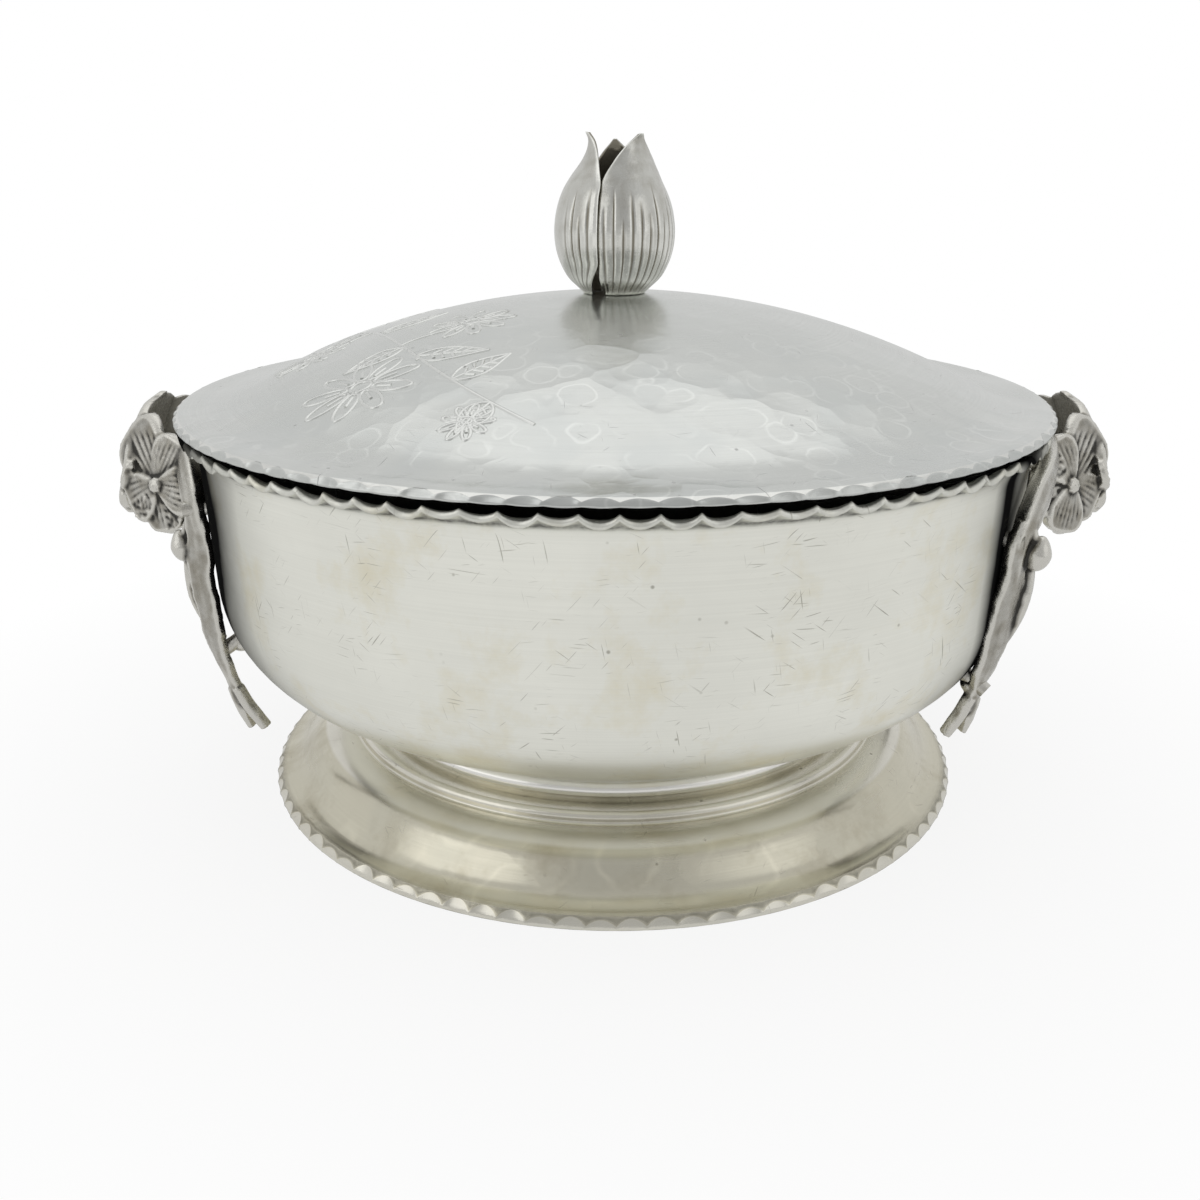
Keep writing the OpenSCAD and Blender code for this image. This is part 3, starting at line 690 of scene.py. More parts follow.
def leaf_lines(root, direction, length, width):
    """Outline, rib and side veins of a leaf, seen from above."""
    t = np.linspace(0, 1, 15)
    half = width * np.sin(math.pi * t ** 0.8) * (1 - 0.25 * t)
    lines = [np.stack([t * length, side * half + 0.08 * length * t * t], axis=1) for side in (-1, 1, 0)]
    for k in (3, 5, 7, 9):
        for side in (-1, 1):
            start = lines[2][k]
            lines.append(np.array([start, start + [length * 0.10, side * half[k] * 0.72]]))
    c, s = math.cos(math.radians(direction)), math.sin(math.radians(direction))
    return [line @ np.array([[c, s], [-s, c]]) + root for line in lines]


# Daisies as place, size and turn; leaves as place along the vine, direction and length
DAISIES = (
    ((-61, -57), 1.0, 0.1), ((-37, -27), 0.8, 0.5), ((-82, -14), 0.72, 0.2), ((-60, 24), 0.6, 0.9),
    ((-33, -84), 0.45, 0.4),
)
LEAVES = (
    (8, 140, 17), (17, 250, 18), (25, 15, 19), (36, 205, 16), (40, -20, 19), (48, 30, 16), (54, 230, 12),
)
LEAF_W = 4.2
vine = bezier((-92, 26), (-60, 10), (-62, -50), (-18, -88), 60)
lines = [vine]
for place, size, turn in DAISIES:
    near = vine[np.argmin(np.linalg.norm(vine - place, axis=1))]
    way = unit(np.array(place) - near)
    lines.append(bezier(near, near + 3 * way + [1, 2], place - 16 * size * way, place - 14.5 * size * way, 8))
for t, direction, length in LEAVES:
    lines += leaf_lines(vine[t], direction, length, LEAF_W)
points, edges = [], []
for line in lines:
    edges += [(len(points) + i, len(points) + i + 1) for i in range(len(line) - 1)]
    points += [(x * MM, y * MM, 0) for x, y in line]
sizes = [0.0] * len(points) + [size for place, size, turn in DAISIES]
points += [(x * MM, y * MM, turn) for (x, y), size, turn in DAISIES]
spray_mesh = new_mesh("lid_spray", points, edges)
store(spray_mesh, "size", sizes)
print("spray lines:", len(lines), "daisies:", len(DAISIES))


# %% [markdown]
# Both this tree and the next one repeat a petal around a middle. A few helpers say that briefly:
# one parts a shape by a selection, one puts turned copies on points, and one joins shapes.

# %% Repeating shapes
def parted(shape, selection):
    """What lies in a selection, and what is left."""
    inputs = {"Geometry": shape, "Selection": selection}
    chosen = add_node(shape.tree, "GeometryNodeSeparateGeometry", inputs, "Selection")
    return chosen, Value(chosen.socket.node.outputs["Inverted"])


def line_of_points(count, offset, start=(0, 0, 0)):
    inputs = {"Count": count, "Offset": offset, "Start Location": start}
    return add_node(count.tree, "GeometryNodeMeshLine", inputs)


def repeat(points, shape, turn=None, selection=True, scale=(1, 1, 1)):
    """Copies of a shape on points, each turned about z by its own angle."""
    inputs = {"Points": points, "Instance": shape, "Selection": selection, "Scale": scale}
    if turn is not None:
        inputs["Rotation"] = add_node(points.tree, "FunctionNodeEulerToRotation", {0: vector(z=turn)})
    return add_node(points.tree, "GeometryNodeInstanceOnPoints", inputs)


def joined(*parts):
    tree = parts[0].tree
    node = tree.nodes.new("GeometryNodeJoinGeometry")
    for part in parts:
        plug(node.inputs[0], part)
    return add_node(tree, "GeometryNodeRealizeInstances", {0: Value(node.outputs[0])})


def transformed(shape, **inputs):
    inputs = {key.title(): value for key, value in inputs.items()}
    return add_node(shape.tree, "GeometryNodeTransform", {"Geometry": shape, **inputs})


# %% Spray tree
def spray_tree():
    tree, given = new_tree("spray", ["Petals"], [
        "Petal Length", "Petal Width", "Eye Radius", "Bead Radius", "Sink", "Dome Radius", "Dome Centre",
    ])
    long, eye_radius, dome_radius = given["Petal Length"], given["Eye Radius"], given["Dome Radius"]
    size = named(tree, "size")
    flowers, stems = parted(given["Geometry"], size > 0.01)

    def circle(resolution, radius):
        inputs = {"Resolution": resolution, "Radius": radius}
        return add_node(tree, "GeometryNodeCurvePrimitiveCircle", inputs)

    # A daisy: narrow loops around an eye, each with a vein
    middle = vector(y=eye_radius + long)
    loop = transformed(circle(20, 1.0), scale=vector(given["Petal Width"], long, 1.0), translation=middle)
    inputs = {"Start": vector(y=eye_radius + long * 0.3), "End": middle}
    vein = add_node(tree, "GeometryNodeCurvePrimitiveLine", inputs)
    index = add_node(tree, "GeometryNodeInputIndex")
    turn = index * (2 * math.pi) / given["Petals"]
    petals_around = repeat(line_of_points(given["Petals"], (0, 0, 0)), joined(loop, vein), turn)
    daisy = joined(petals_around, circle(16, eye_radius * 0.8))

    x, y, z = split(add_node(tree, "GeometryNodeInputPosition"))
    drawn = add_node(tree, "GeometryNodeMeshToCurve", {"Mesh": stems})
    both = joined(drawn, repeat(flowers, daisy, z, scale=vector(size, size, size)))
    even = add_node(tree, "GeometryNodeResampleCurve", {"Curve": both, "Length": 0.9 * MM}, mode="LENGTH")

    # Lay the lines on the dome
    rise = calculate("SQRT", dome_radius * dome_radius - (x * x + y * y))
    laid = moved(even, position=vector(x, y, given["Dome Centre"] + rise - given["Sink"]))
    inputs = {"Curve": laid, "Profile Curve": circle(8, given["Bead Radius"]), "Fill Caps": True}
    return end_tree(tree, given, add_node(tree, "GeometryNodeCurveToMesh", inputs))


lid_spray = face_outwards(evaluate(
    add_object("lid_spray", spray_mesh), spray_tree(), petals=9, petal_length=5.6 * MM, petal_width=2.2 * MM,
    eye_radius=3.2 * MM, bead_radius=0.55 * MM, sink=0.28 * MM, dome_radius=DOME_R * MM,
    dome_centre=(APEX_Z - DOME_R * math.cos(dome_start)) * MM, material=SPRAY_HIGHLIGHTED_SHEET,
))
print("spray faces:", len(lid_spray.data.polygons))

# %% [markdown]
# ## The tulip knob
#
# Each petal is a thick leaf on the surface of a bud. Its face has grooves that run together at
# the base, a smooth rim and a tip that bends out. A petal is drawn on a grid of its own: one
# direction across the petal, the other from base to tip. Two short tables, read off the bud's
# side view, give the bud's radius and the petal's half width as an angle, both by height.

# %% Tables and thick grids
BUD = np.array([
    (0, 8.3), (1.5, 9.8), (3.7, 12.2), (7.8, 14.7), (11.9, 16.0), (15.9, 16.4), (19.8, 16.1), (23.7, 15.2),
    (27.5, 13.6), (30.8, 11.4), (34.1, 8.9), (37.4, 7.3), (39.6, 7.1), (41.3, 7.9),
]).T
WIDTH = np.array([
    (0, 59), (4, 60), (25, 61), (29, 60.5), (31, 57), (33.5, 50), (36, 40), (38.5, 25), (40.3, 10), (41.3, 3),
]).T
BUD_H = 41.3


def soft_curve(x, table):
    """A smooth curve through the columns of a small table."""
    xs, ys = table
    slopes = np.gradient(ys, xs)
    i = np.clip(np.searchsorted(xs, x) - 1, 0, len(xs) - 2)
    h = xs[i + 1] - xs[i]
    t = (x - xs[i]) / h
    return ((1 + 2 * t) * (1 - t) ** 2 * ys[i] + t * (1 - t) ** 2 * h * slopes[i]
            + t * t * (3 - 2 * t) * ys[i + 1] + t * t * (t - 1) * h * slopes[i + 1])


def step(x, start, end):
    """0 up to the start, 1 from the end on, and a straight rise between them."""
    return np.clip((x - start) / (end - start), 0, 1)


def slab(front, back):
    """A closed solid between two grids of points of the same size."""
    rows, columns = front.shape[:2]
    count = rows * columns
    index = np.arange(count).reshape(rows, columns)
    a, b, c, d = index[:-1, :-1], index[1:, :-1], index[1:, 1:], index[:-1, 1:]
    faces = np.stack([a, b, c, d], axis=-1).reshape(-1, 4).tolist()
    faces += (np.stack([a, d, c, b], axis=-1).reshape(-1, 4) + count).tolist()
    border = np.concatenate([index[:, 0], index[-1, 1:], index[-2::-1, -1], index[0, -2:0:-1]])
    faces += [(p, p + count, q + count, q) for p, q in zip(border.tolist(), np.roll(border, -1).tolist())]
    return np.concatenate([front.reshape(-1, 3), back.reshape(-1, 3)]), faces


# %% [markdown]
# Hollows are found by calming the mesh: each point moves towards the mean of its neighbours a few
# times, and a point that moves outwards has lain in a hollow.

# %% Recesses
def points_and_ways(mesh):
    """A mesh's points, and the directions in which its surface faces there."""
    both = np.empty((2, len(mesh.vertices) * 3))
    mesh.vertices.foreach_get("co", both[0])
    mesh.vertex_normals.foreach_get("vector", both[1])
    return both.reshape(2, -1, 3)


def mark_recesses(piece, rounds, scale):
    """Stores how deep each point lies in a hollow, from 0 on a crest to 1 in a groove."""
    mesh = piece.data
    count = len(mesh.vertices)
    points, ways = points_and_ways(mesh)
    ends = np.empty(len(mesh.edges) * 2, int)
    mesh.edges.foreach_get("vertices", ends)
    a, b = ends.reshape(-1, 2).T
    near = np.bincount(a, minlength=count) + np.bincount(b, minlength=count)
    calm = points.copy()
    for _ in range(rounds):
        for k in range(3):
            total = np.bincount(a, calm[b, k], count) + np.bincount(b, calm[a, k], count)
            calm[:, k] = 0.4 * calm[:, k] + 0.6 * total / np.maximum(near, 1)
    depth = ((calm - points) * ways).sum(axis=1) / MM / scale
    store(mesh, "recess", np.clip(0.5 + depth / 2, 0, 1))
    return piece


# %% Tulip petals
PETAL_T, GROOVE_DEPTH, INSIDE_SHADE = 1.25, 0.5, 0.78


def petal(name, node, turn, lean=0.0, opening=0.0, lift=0.0, foot=59.0, plain=-1.0):
    """One petal: foot is its half angle at the base, and grooves lie right of the share plain."""
    heights = BUD_H * (1 - (1 - np.linspace(0, 1, 100)) ** 1.25)
    s, z = np.meshgrid(np.linspace(-1, 1, 97), heights, indexing="ij")
    late = step(z, 27, 41)
    width = soft_curve(z, WIDTH) - (59 - foot) * np.clip(1 - z / 9, 0, 1) ** 1.5
    angle = np.radians(turn + lean * late + s * width)
    radius = soft_curve(z, BUD) + opening * np.sin(late * late * (3 - 2 * late) * math.pi * 0.62)
    # One border lies over the next petal, and the other one under the petal before
    radius += 0.5 * step(s, 0.6, 1) * (1 - late) - 0.9 * step(-s, 0.6, 1) * (1 - late)
    grooves = (0.5 - 0.5 * np.cos(s * 13 * math.pi)) ** 9 * np.clip((s - plain) / 0.15, 0, 1)
    lengths = 25 + 4 * np.cos(np.round(s * 6.5 - 0.5) * 2.4)
    fade = np.clip((0.90 - np.abs(s)) / 0.06, 0, 1) * np.clip((lengths - z) / 6, 0, 1) * step(z, 0, 2)
    rim = 0.35 * step(np.abs(s), 0.93, 1) ** 2
    z = z * (1 + lift / BUD_H)

    def skin(r, h):
        return np.stack([r * np.cos(angle), r * np.sin(angle), APEX_Z + 0.05 + h], axis=-1)

    outer = skin(radius - GROOVE_DEPTH * grooves * fade - rim, z)
    points, faces = slab(outer, skin(radius - PETAL_T + rim, z - 0.2 * late))
    mesh = new_mesh(name, (points * MM).tolist(), faces=faces)
    mesh.materials.append(PETAL)
    mesh.polygons.foreach_set("use_smooth", [True] * len(mesh.polygons))
    piece = mark_recesses(face_outwards(add_object(name, mesh)), 12, 0.3)
    # Painted shade: the back of each petal, the inside of the bud, counts as deep in a hollow and goes dark
    recess = mesh.attributes["recess"].data
    for i in range(len(points) // 2, len(points)):
        recess[i].value = max(recess[i].value, INSIDE_SHADE)
    print(name, "faces:", len(mesh.polygons))
    return piece, node


petals = [
    petal("petal_left_skin", "petal_left", 192, lift=0.6, foot=34, plain=0.3),
    petal("petal_right_skin", "petal_right", 311, lean=7, opening=2.0, lift=0.1, foot=64),
    petal("petal_back_skin", "petal_back", 71, lean=17, opening=0.8, lift=-1.0, foot=68),
]

# %% [markdown]
# ## The handles
#
# A handle is one casting: a half loop of three wild-rose blossoms, and at each end a ribbon that
# falls along the bowl, with a bud and a short loose end. The blossoms are all alike, so one petal
# is drawn flat. A tree repeats it around a button, makes a flat row of such blossoms, and gives each
# its own side of the loop. Two of the five petals are stippled on one half, as the pattern's carver
# left them.

# %% One flat petal
PETAL_L, PETAL_W, STEM_W, WIDEST = 13.4, 7.2, 1.6, 0.68
LOOP_X, LOOP_R = 110.5, 27.4


def flat_petal(stippled, seed):
    u, v = np.meshgrid(np.linspace(-1, 1, 61), np.linspace(0, 1, 56) ** 0.85, indexing="ij")
    rise = np.clip(v / WIDEST, 0, 1)
    widening = STEM_W + (PETAL_W - STEM_W) * rise ** 1.2 * (2.2 - 1.2 * rise)
    closing = PETAL_W * np.clip(1 - (np.clip(v - WIDEST, 0, 1) / 0.325) ** 2.4, 0, 1) ** 0.5
    x, y = u * np.where(v < WIDEST, widening, closing), v * PETAL_L + 0.7 * (1 - u * u) * v ** 4
    edge = np.maximum(step(np.abs(u), 0.78, 1), step(v, 0.88, 1))
    front = 0.7 + 0.5 * v + 0.7 * u * u * v + 0.35 * hump(edge, 0.35, 0.3) * v - 0.8 * edge ** 3
    back = front - 2.5 + 0.6 * edge ** 3
    veins = sum(
        hump(u, k, 0.045) * np.clip((0.93 - 0.35 * abs(k) - v) / 0.15, 0, 1)
        for k in np.linspace(-0.78, 0.78, 8)
    )
    veins *= np.clip((v - 0.12) / 0.12, 0, 1)
    if stippled:
        chance = np.random.default_rng(seed)
        dots = [chance.uniform(-PETAL_W, 0, 130), chance.uniform(0.3 * PETAL_L, PETAL_L, 130)]
        pits = np.max([
            np.clip(1 - ((x - p) ** 2 + (y - q) ** 2) / 0.36, 0, 1) for p, q in zip(*dots)
        ], axis=0)
        veins = np.where(u > -0.05, veins, pits * np.clip((0.86 - np.abs(u)) / 0.05, 0, 1))
    return slab(np.stack([x, y, front - 0.6 * veins], axis=-1), np.stack([x, y, back], axis=-1))


garland_points, garland_faces, stipple = [], [], []
for kind in (0, 1):
    points, faces = flat_petal(kind == 1, 11)
    garland_faces += [tuple(i + len(garland_points) for i in face) for face in faces]
    garland_points += (points * MM).tolist()
    stipple += [kind] * len(points)
garland_mesh = new_mesh("garland", garland_points, faces=garland_faces)
store(garland_mesh, "stipple", stipple)
print("two flat petals:", len(garland_points), "points")


# %% Garland tree
APART = 80 * MM


def blossom_of(tree, given, index):
    """Petals around the middle, every second one a little higher, and a beaded button."""
    button_radius = given["Button Radius"]
    stippled, veined = parted(given["Geometry"], named(tree, "stipple") > 0.5)
    places = line_of_points(given["Petals"], (0, 0, 0))
    places = moved(places, offset=vector(z=calculate("MODULO", index, 2) * (0.7 * MM)))
    turn = index * (2 * math.pi) / given["Petals"]
    is_stippled = abs(index - 1.5) < 1.0
    first = index < 0.5
    broad, long = (1 + first * (given[key] - 1) for key in ("Broad Petal", "Long Petal"))
    button = add_node(tree, "GeometryNodeMeshUVSphere", {"Radius": button_radius})
    beads = add_node(tree, "GeometryNodeMeshCircle", {"Vertices": 8, "Radius": button_radius * 0.68})
    bead = add_node(tree, "GeometryNodeMeshIcoSphere", {"Subdivisions": 3, "Radius": given["Bead Radius"]})
    around_top = repeat(moved(beads, offset=vector(z=button_radius * 0.72)), bead)
    middle = joined(button, around_top, transformed(bead, translation=vector(z=button_radius)))
    return joined(
        repeat(places, veined, turn, 1 - is_stippled, vector(broad, long, 1.0)),
        repeat(places, stippled, turn, is_stippled),
        transformed(middle, translation=(0, 0, 0.4 * MM)),
    )


def garland_tree():
    tree, given = new_tree("garland", ["Petals", "Flowers"], [
        "Flower Step", "Flower Tilt", "Flower Bow", "Middle Width", "Long Petal", "Broad Petal",
        "Loop Radius", "Loop Centre", "Loop Lean", "Loop Bend", "Height", "Button Radius", "Bead Radius",
        "Band Height", "Band Thickness",
    ])
    loop_radius, thickness = given["Loop Radius"], given["Band Thickness"]
    index = add_node(tree, "GeometryNodeInputIndex")
    row = line_of_points(given["Flowers"], (APART, 0, 0), (-APART, 0, 0))
    flat_row = joined(repeat(row, blossom_of(tree, given, index), (index - 1) * given["Flower Tilt"]))
    x, y, z = split(add_node(tree, "GeometryNodeInputPosition"))

    def around_loop(shape, angle, out, aside):
        cosine, sine = calculate("COSINE", angle), calculate("SINE", angle)
        along_x, along_y = out * cosine - aside * sine, out * sine + aside * cosine
        return moved(shape, position=vector(given["Loop Centre"] + along_x, along_y, given["Height"] + y))

    # Each blossom takes its own side of the loop, a little bowed and leaning in at the top
    number = calculate("ROUND", x / APART)
    widened = (abs(number) < 0.5) * (given["Middle Width"] - 1)
    aside = (x - number * APART) * (widened + 1)
    bent = calculate("POWER", abs(y) / given["Loop Bend"], 2)
    inward = y * given["Loop Lean"] + bent * loop_radius
    bowed = aside * aside / (given["Flower Bow"] * 2)
    out = loop_radius + z - (inward + bowed)
    blossoms = around_loop(flat_row, number * given["Flower Step"], out, aside)

    # A plain band behind the blossoms holds them together
    size = vector(loop_radius * math.pi, given["Band Height"], thickness)
    band = add_node(tree, "GeometryNodeMeshCube", {"Vertices X": 90, "Size": size})
    band = around_loop(band, x / loop_radius, loop_radius + z - thickness, 0.0)
    return end_tree(tree, given, joined(blossoms, band))


garland = evaluate(
    add_object("handle_right_skin", garland_mesh), garland_tree(), petals=5, flowers=3,
    flower_step=math.radians(60), flower_tilt=math.radians(49), flower_bow=60 * MM, middle_width=1.45,
    long_petal=1.5, broad_petal=1.3, loop_radius=LOOP_R * MM, loop_centre=LOOP_X * MM, loop_lean=0.18,
    loop_bend=48.7 * MM, height=89.2 * MM, button_radius=2.1 * MM, bead_radius=0.66 * MM, band_height=9 * MM,
    band_thickness=2.2 * MM, material=CAST,
)
print("garland faces:", len(garland.data.polygons))

# %% [markdown]
# The ribbons are strips that follow a curve beside the bowl and turn their faces a little towards
# the blossoms. Each has a rounded face with a low border and slightly wavy sides, narrows at the
# knot under the blossom and ends in a swallow tail. Drawn as separate solids, they only have to
# overlap, because all of the casting is melted into one skin afterwards.

# %% Ribbons and buds
def ribbon(path, twist, half, thickness, shift=0.0, crease=0.1):
    """A strip along a path in space, with its face turned away from the axis and relief on it."""
    ahead = unit(np.gradient(path, axis=0))
    out = path * [1, 1, 0]
    normal = unit(out - (out * ahead).sum(axis=1)[:, None] * ahead)
    side = np.cross(normal, ahead)
    turn, half, thickness, shift = (
        np.broadcast_to(v, len(path))[:, None] for v in (np.radians(twist), half, thickness, shift)
    )
    face = normal * np.cos(turn) + side * np.sin(turn)
    across = side * np.cos(turn) - normal * np.sin(turn)
    u = np.linspace(-1, 1, 41)
    relief = 0.2 * hump(np.abs(u), 0.86, 0.10) - crease * hump(np.abs(u), 0.34, 0.09) + 0.9 * (1 - u * u)
    relief -= 0.8 * step(np.abs(u), 0.93, 1) ** 2
    wave = path[:, 2:] * 0.55
    half = half * (1 + 0.05 * np.sin(wave) + 0.03 * np.sin(2.3 * wave + 1))
    shift = shift + 0.3 * np.sin(0.6 * wave + 2)
    flat = path[:, None, :] + (u * half + shift)[:, :, None] * across[:, None, :]
    front = flat + (thickness / 2 + relief)[:, :, None] * face[:, None, :]
    back = flat - (thickness / 2 - 0.5 * u ** 4)[:, :, None] * face[:, None, :]
    return slab(front, back)


def egg(centre, axis, long, wide):
    """A bud: a ball that is drawn out to a point along its axis."""
    ball = bmesh.new()
    bmesh.ops.create_uvsphere(ball, u_segments=32, v_segments=20, radius=1)
    points = np.array([v.co for v in ball.verts])
    points[:, :2] *= (wide * (1 - 0.32 * np.clip(points[:, 2:], 0, 1)))
    points[:, 2] *= long
    faces = [[v.index for v in f.verts] for f in ball.faces]
    ball.free()
    turn = np.array(Vector((0, 0, 1)).rotation_difference(Vector(axis)).to_matrix())
    return points @ turn.T + centre, faces


def table(s, rows):
    return np.interp(s, *np.array(rows).T)


def place_at(distance, height, azimuth):
    """A point, or a line of points, from distance to the axis, height and direction."""
    azimuth = np.radians(azimuth)
    return np.stack([distance * np.cos(azimuth), distance * np.sin(azimuth), height + 0 * azimuth], axis=-1)


def upright(line, count, azimuth):
    """A curve that stays in one upright plane through the axis."""
    distance, height = bezier(*line, count).T
    return place_at(distance, height, np.full(count, azimuth))


# %% Legs with their loose ends, straps and bosses
LEGS = (
    {
        "azimuth": -33.0, "breadth": 1.0, "twist": (-24, -20), "bud": 83.0,
        "leg": [(117.4, 98.1), (116.6, 77.3), (115.6, 55.2), (105.7, 31.1)],
        "leaf": [(116.8, 83.0), (120.9, 73.3), (117.9, 62.9), (112.1, 52.5)],
        "strap": [(118.6, 99.0, -11.0), (119.0, 100.0, -25.0), (118.2, 97.5, -33.5), (116.2, 74.0, -33.1)],
    },
    {
        "azimuth": 17.0, "breadth": 0.8, "twist": (56, 34), "bud": 75.5,
        "leg": [(116.2, 98.1), (116.4, 73.9), (120.0, 48.2), (105.7, 20.1)],
        "leaf": [(116.4, 78.0), (122.6, 67.9), (119.6, 56.0), (113.4, 45.1)],
        "strap": [(118.0, 97.0, 6.0), (118.4, 98.5, 13.0), (116.6, 97.0, 17.4), (116.2, 74.0, 17.2)],
    },
)
BOSS_HIGH, BOSS_LOW, BOSS_R = (114.2, 85.1), (107.3, 46.3), 2.3
along, part = np.linspace(0, 1, 130), np.linspace(0, 1, 60)
castings = []
for spec in LEGS:
    azimuth, breadth, bud = spec["azimuth"], spec["breadth"], spec["bud"]
    end = math.copysign(1, azimuth)
    high, low = spec["twist"]
    twist = table(along, [(0, high), (0.4, high), (0.72, low), (1, low)])
    leg = upright(spec["leg"], len(along), azimuth)
    half = table(along, [
        (0, 1.0), (0.12, 1.0), (0.22, 3.2), (0.34, 3.8), (0.48, 4.7 * breadth), (0.62, 4.9 * breadth),
        (0.74, 3.8 * breadth), (0.81, 1.8), (0.86, 2.6), (0.92, 3.1),
    ])
    thick = table(along, [(0, 1.4), (0.12, 1.4), (0.24, 2.3), (0.5, 2.2), (1, 2.0)])
    body, tail = (along > 0.12) & (along < 0.90), along > 0.84
    castings.append(ribbon(leg[body], twist[body], half[body], thick[body], crease=0.08))
    strap = place_at(*bezier(*spec["strap"], len(part)).T)
    half = table(part, [(0, 4.3), (0.7, 3.7), (1, 1.6)])
    castings.append(ribbon(strap, high * part, half, table(part, [(0, 3.4), (0.75, 3.6), (1, 1.6)])))
    half = table(along[tail], [(0.84, 1.6), (0.95, 1.7), (1, 1.1)])
    for prong in (-1, 1):
        spread = prong * table(along[tail], [(0.84, 1.0), (0.91, 1.8), (1, 3.5)])
        castings.append(ribbon(leg[tail], twist[tail], half, 2.6, spread))
    leaf = upright(spec["leaf"], 80, azimuth - end * 2.9)
    castings.append(ribbon(leaf, -end * 14.0, 2.9 * np.sin(np.linspace(0.35, 2.85, 80)), 2.2, crease=0.35))
    knot = min(bezier(*spec["leg"], 101), key=lambda p: abs(p[1] - bud))[0]
    castings.append(egg(place_at(knot + 4.4, bud - 1.5, azimuth - end * 1.9), (0.2, 0.0, 1.0), 4.6, 3.4))
    castings.append(egg(place_at(knot + 2.8, bud + 4.0, azimuth - end * 1.3), (-0.3, 0.0, 1.0), 4.0, 1.3))
    # Bosses between the bowl's wall and the leg, where the rivets sit
    leg_top = spec["leg"][0][0]
    reach = leg_top - MOUTH_R + 2.0
    tip_high = (leg_top - 0.4, BOSS_HIGH[1])
    tip_low = (BOSS_LOW[0] + 0.84 * reach, BOSS_LOW[1] - 0.545 * reach)
    for ends in ((BOSS_HIGH, tip_high), (BOSS_LOW, tip_low)):
        wall, tip = (place_at(*point, azimuth) for point in ends)
        castings.append(egg((wall + tip) / 2, tip - wall, np.linalg.norm(tip - wall) / 2 + 0.6, BOSS_R))

shape = bmesh.new()
shape.from_mesh(garland.data)
for points, faces in castings:
    corners = [shape.verts.new(p * MM) for p in points]
    for face in faces:
        shape.faces.new([corners[i] for i in face])
bmesh.ops.recalc_face_normals(shape, faces=shape.faces)
shape.to_mesh(garland.data)
shape.free()
print("ribbons, buds and bosses of a casting:", len(castings))


# %% [markdown]
# Voxel remeshing melts the overlapping solids into one skin, as molten metal fills a mould, and a
# light smoothing takes off the voxel steps. The side of the blossoms that faces the bowl was never
# polished and lies in shade. It is stored as the attribute that darkens the finish there, as
# unpolished metal and as painted shade. The left handle is the same casting, turned half round.

# %% Melt and turn
VOXEL = 0.43 * MM


def melt(piece, voxel, rounds):
    remesh = piece.modifiers.new("melt", "REMESH")
    remesh.mode, remesh.voxel_size, remesh.use_smooth_shade = "VOXEL", voxel, True
    calm = piece.modifiers.new("calm", "SMOOTH")
    calm.factor, calm.iterations = 0.5, rounds
    mesh = plain_mesh(piece)
    piece.modifiers.clear()
    piece.data = mesh
    mesh.materials.clear()
    mesh.materials.append(CAST)
    return piece


def mark_inside(piece, centre):
    """Stores how much each point of the blossoms faces back to the axis beside it."""
    points, ways = points_and_ways(piece.data)
    out = unit((points - centre) * [1, 1, 0])
    inward = np.clip((-(out * ways).sum(axis=1) - 0.25) / 0.45, 0, 1)
    store(piece.data, "inside", inward * np.clip((points[:, 2] / MM - 84) / 4, 0, 1))


handle_right = mark_recesses(face_outwards(melt(garland, VOXEL, 2)), 25, 0.30)
mark_inside(handle_right, np.array([LOOP_X * MM * 0.85, 0, 0]))
handle_left = add_object("handle_left_skin", handle_right.data.copy())
handle_left.data.transform(Matrix.Rotation(math.pi, 4, "Z"))
print("handle faces:", len(handle_right.data.polygons))

# %% [markdown]
# ## Riding on the bodies
#
# Each skin stands for its solid and moves with that solid's body. The fasteners keep their solids
# and only take a finish.

# %% Bodies and finishes
for piece, body, node, slot in (
    (bowl, "dish", "bowl", "bowl_metal"), (foot, "dish", "foot", "foot_metal"),
    (lid, "lid", "lid", "lid_metal"),
):
    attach(piece, body)
    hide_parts(node)
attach(neck_bead, "dish")
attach(lid_spray, "lid")
for piece, node in petals:
    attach(piece, "lid")
    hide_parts(node)

for piece, node in ((handle_left, "handle_left"), (handle_right, "handle_right")):
    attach(piece, "dish")
    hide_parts(node)

for name, material in (
    ("foot_rivets", PLAIN), ("handle_left_rivets", PLAIN), ("handle_right_rivets", PLAIN),
    ("knob_screw", STEEL), ("knob_washer", STEEL), ("knob_nut", STEEL),
):
    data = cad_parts[name].data
    data.materials.clear()
    data.materials.append(material)

# %% [markdown]
# ## Floor, light and camera
#
# The dish stands on a pale floor in a white room. Metal shows what surrounds it, so the room is
# white to the eye and a little dimmer in reflections, most of all towards the viewer, with soft
# lamps above and to both sides. The camera has the photograph's place and angle.

# %% Floor
FLOOR_HALF, PAPER_WHITE = 6, (0.9, 0.9, 0.9, 1)
corners = [(x * FLOOR_HALF, y * FLOOR_HALF, 0) for x, y in ((-1, -1), (1, -1), (1, 1), (-1, 1))]
floor_mesh = new_mesh("floor", corners, faces=[(0, 1, 2, 3)])
floor = add_object("floor", floor_mesh)
paper, tree, surface = shader("paper")
plug(surface.inputs["Base Color"], PAPER_WHITE)
plug(surface.inputs["Roughness"], 0.9)
plug(surface.inputs["Specular IOR Level"], 0.0)
rays = outputs_of(tree, "ShaderNodeLightPath")
glossy = rays["Is Glossy Ray"]
seen = greatest(rays["Is Camera Ray"], greatest(glossy, rays["Is Transmission Ray"]))
place = outputs_of(tree, "ShaderNodeTexCoord")["Object"]
distance = vector_math("LENGTH", place, output="Value")
white = add_node(tree, "ShaderNodeEmission", {"Strength": ramp(glossy, 0.0, 1.0, 1.0, 0.76)})
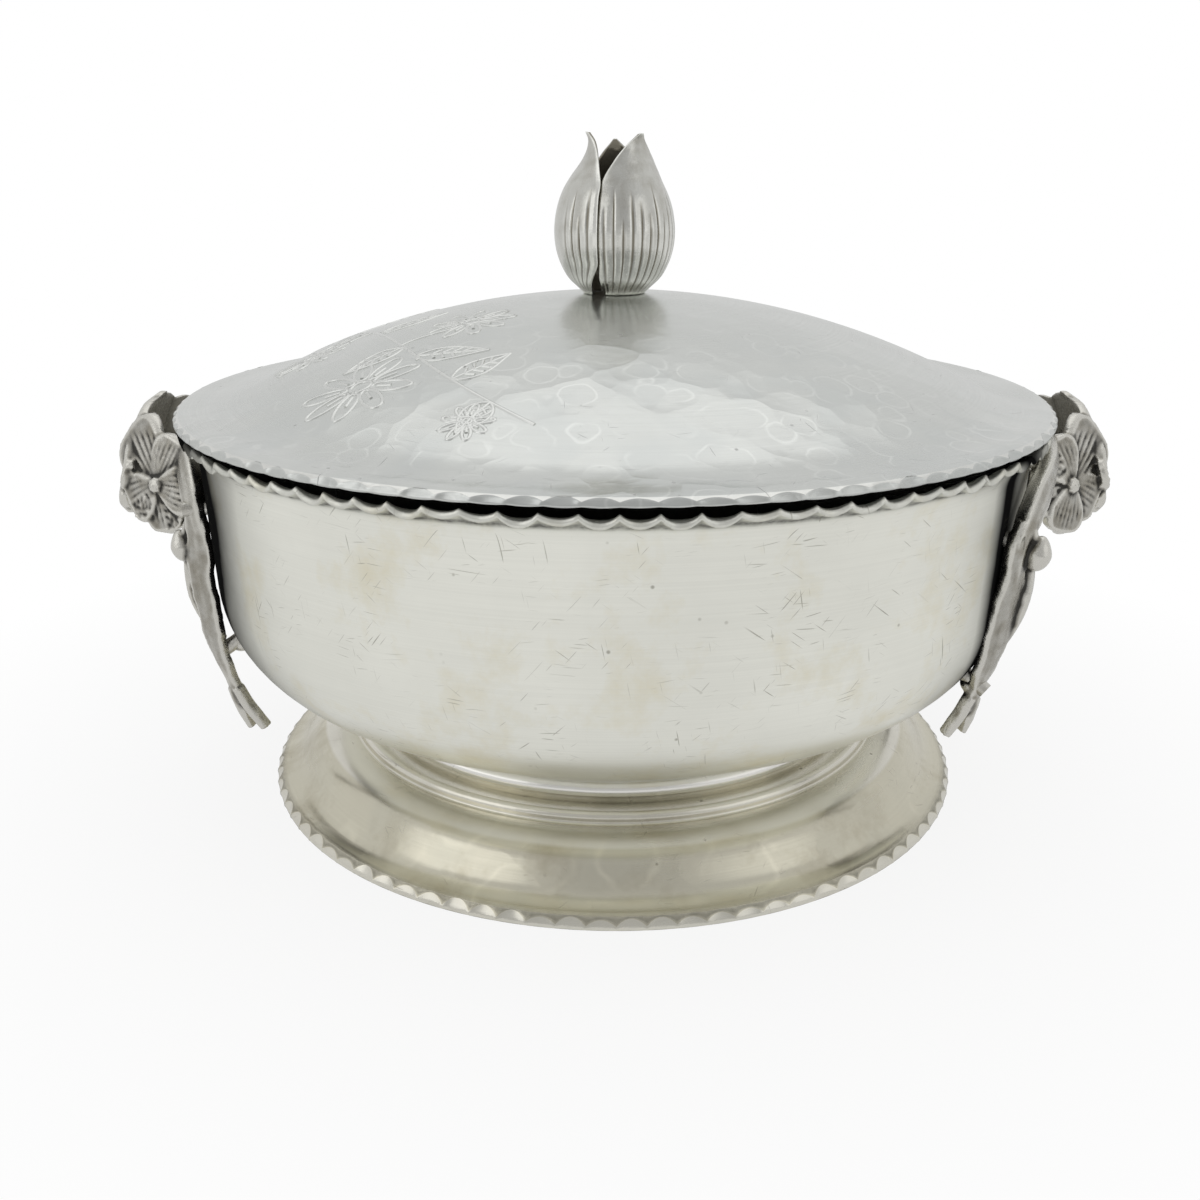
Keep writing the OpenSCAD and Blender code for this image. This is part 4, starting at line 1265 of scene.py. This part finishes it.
share = seen * ramp(distance, 0.09, 0.26, 0.84, 1.0)
mixed = add_node(tree, "ShaderNodeMixShader", {0: share, 1: Value(surface.outputs[0]), 2: white})
plug(tree.nodes["Material Output"].inputs["Surface"], mixed)
floor_mesh.materials.append(paper)

# %% World
ROOM_LIGHT = 0.55
world = bpy.data.worlds.new("white room")
bpy.context.scene.world = world
world.use_nodes = True
sky = world.node_tree
rays = outputs_of(sky, "ShaderNodeLightPath")
glossy = rays["Is Glossy Ray"]
x, y, z = split(outputs_of(sky, "ShaderNodeTexCoord")["Generated"])
mirrored = glossy * ramp(y, -0.75, 0.1, 0.51, 0.76)
direct = greatest(rays["Is Camera Ray"], rays["Is Transmission Ray"])
lighting = ramp(greatest(direct, glossy), 0.0, 1.0, 1.0, 0.0) * ROOM_LIGHT
plug(sky.nodes["Background"].inputs["Color"], (1, 1, 1, 1))
plug(sky.nodes["Background"].inputs["Strength"], greatest(direct, mirrored) + lighting)


# %% Lamps
def lamp(name, place, aim, size, power):
    data = bpy.data.lights.new(name, "AREA")
    data.shape = "RECTANGLE"
    data.size, data.size_y = size
    data.energy = power
    light = add_object(name, data)
    light.location = place
    light.rotation_euler = (Vector(aim) - Vector(place)).to_track_quat("-Z", "Y").to_euler()


lamp("overhead", (0.0, 0.3, 1.3), (0, 0, 0.1), (1.6, 1.2), 1.9)
lamp("left", (-1.2, -0.8, 0.75), (0, 0, 0.08), (1.1, 1.2), 2.3)
lamp("right", (1.2, -0.9, 0.65), (0, 0, 0.08), (1.0, 1.1), 1.3)

# %% Camera
CAMERA_DOWN = 19.75
camera_data = bpy.data.cameras.new("camera")
camera_data.lens = 36.93
camera_data.sensor_width = 36
camera_data.sensor_fit = "HORIZONTAL"
camera_data.clip_start = 0.01
camera = add_object("camera", camera_data)
camera.location = (-3.88 * MM, -350.92 * MM, 172.89 * MM)
camera.rotation_euler = (math.radians(90 - CAMERA_DOWN), 0, 0)
bpy.context.scene.camera = camera
bpy.context.scene.view_settings.view_transform = "Standard"
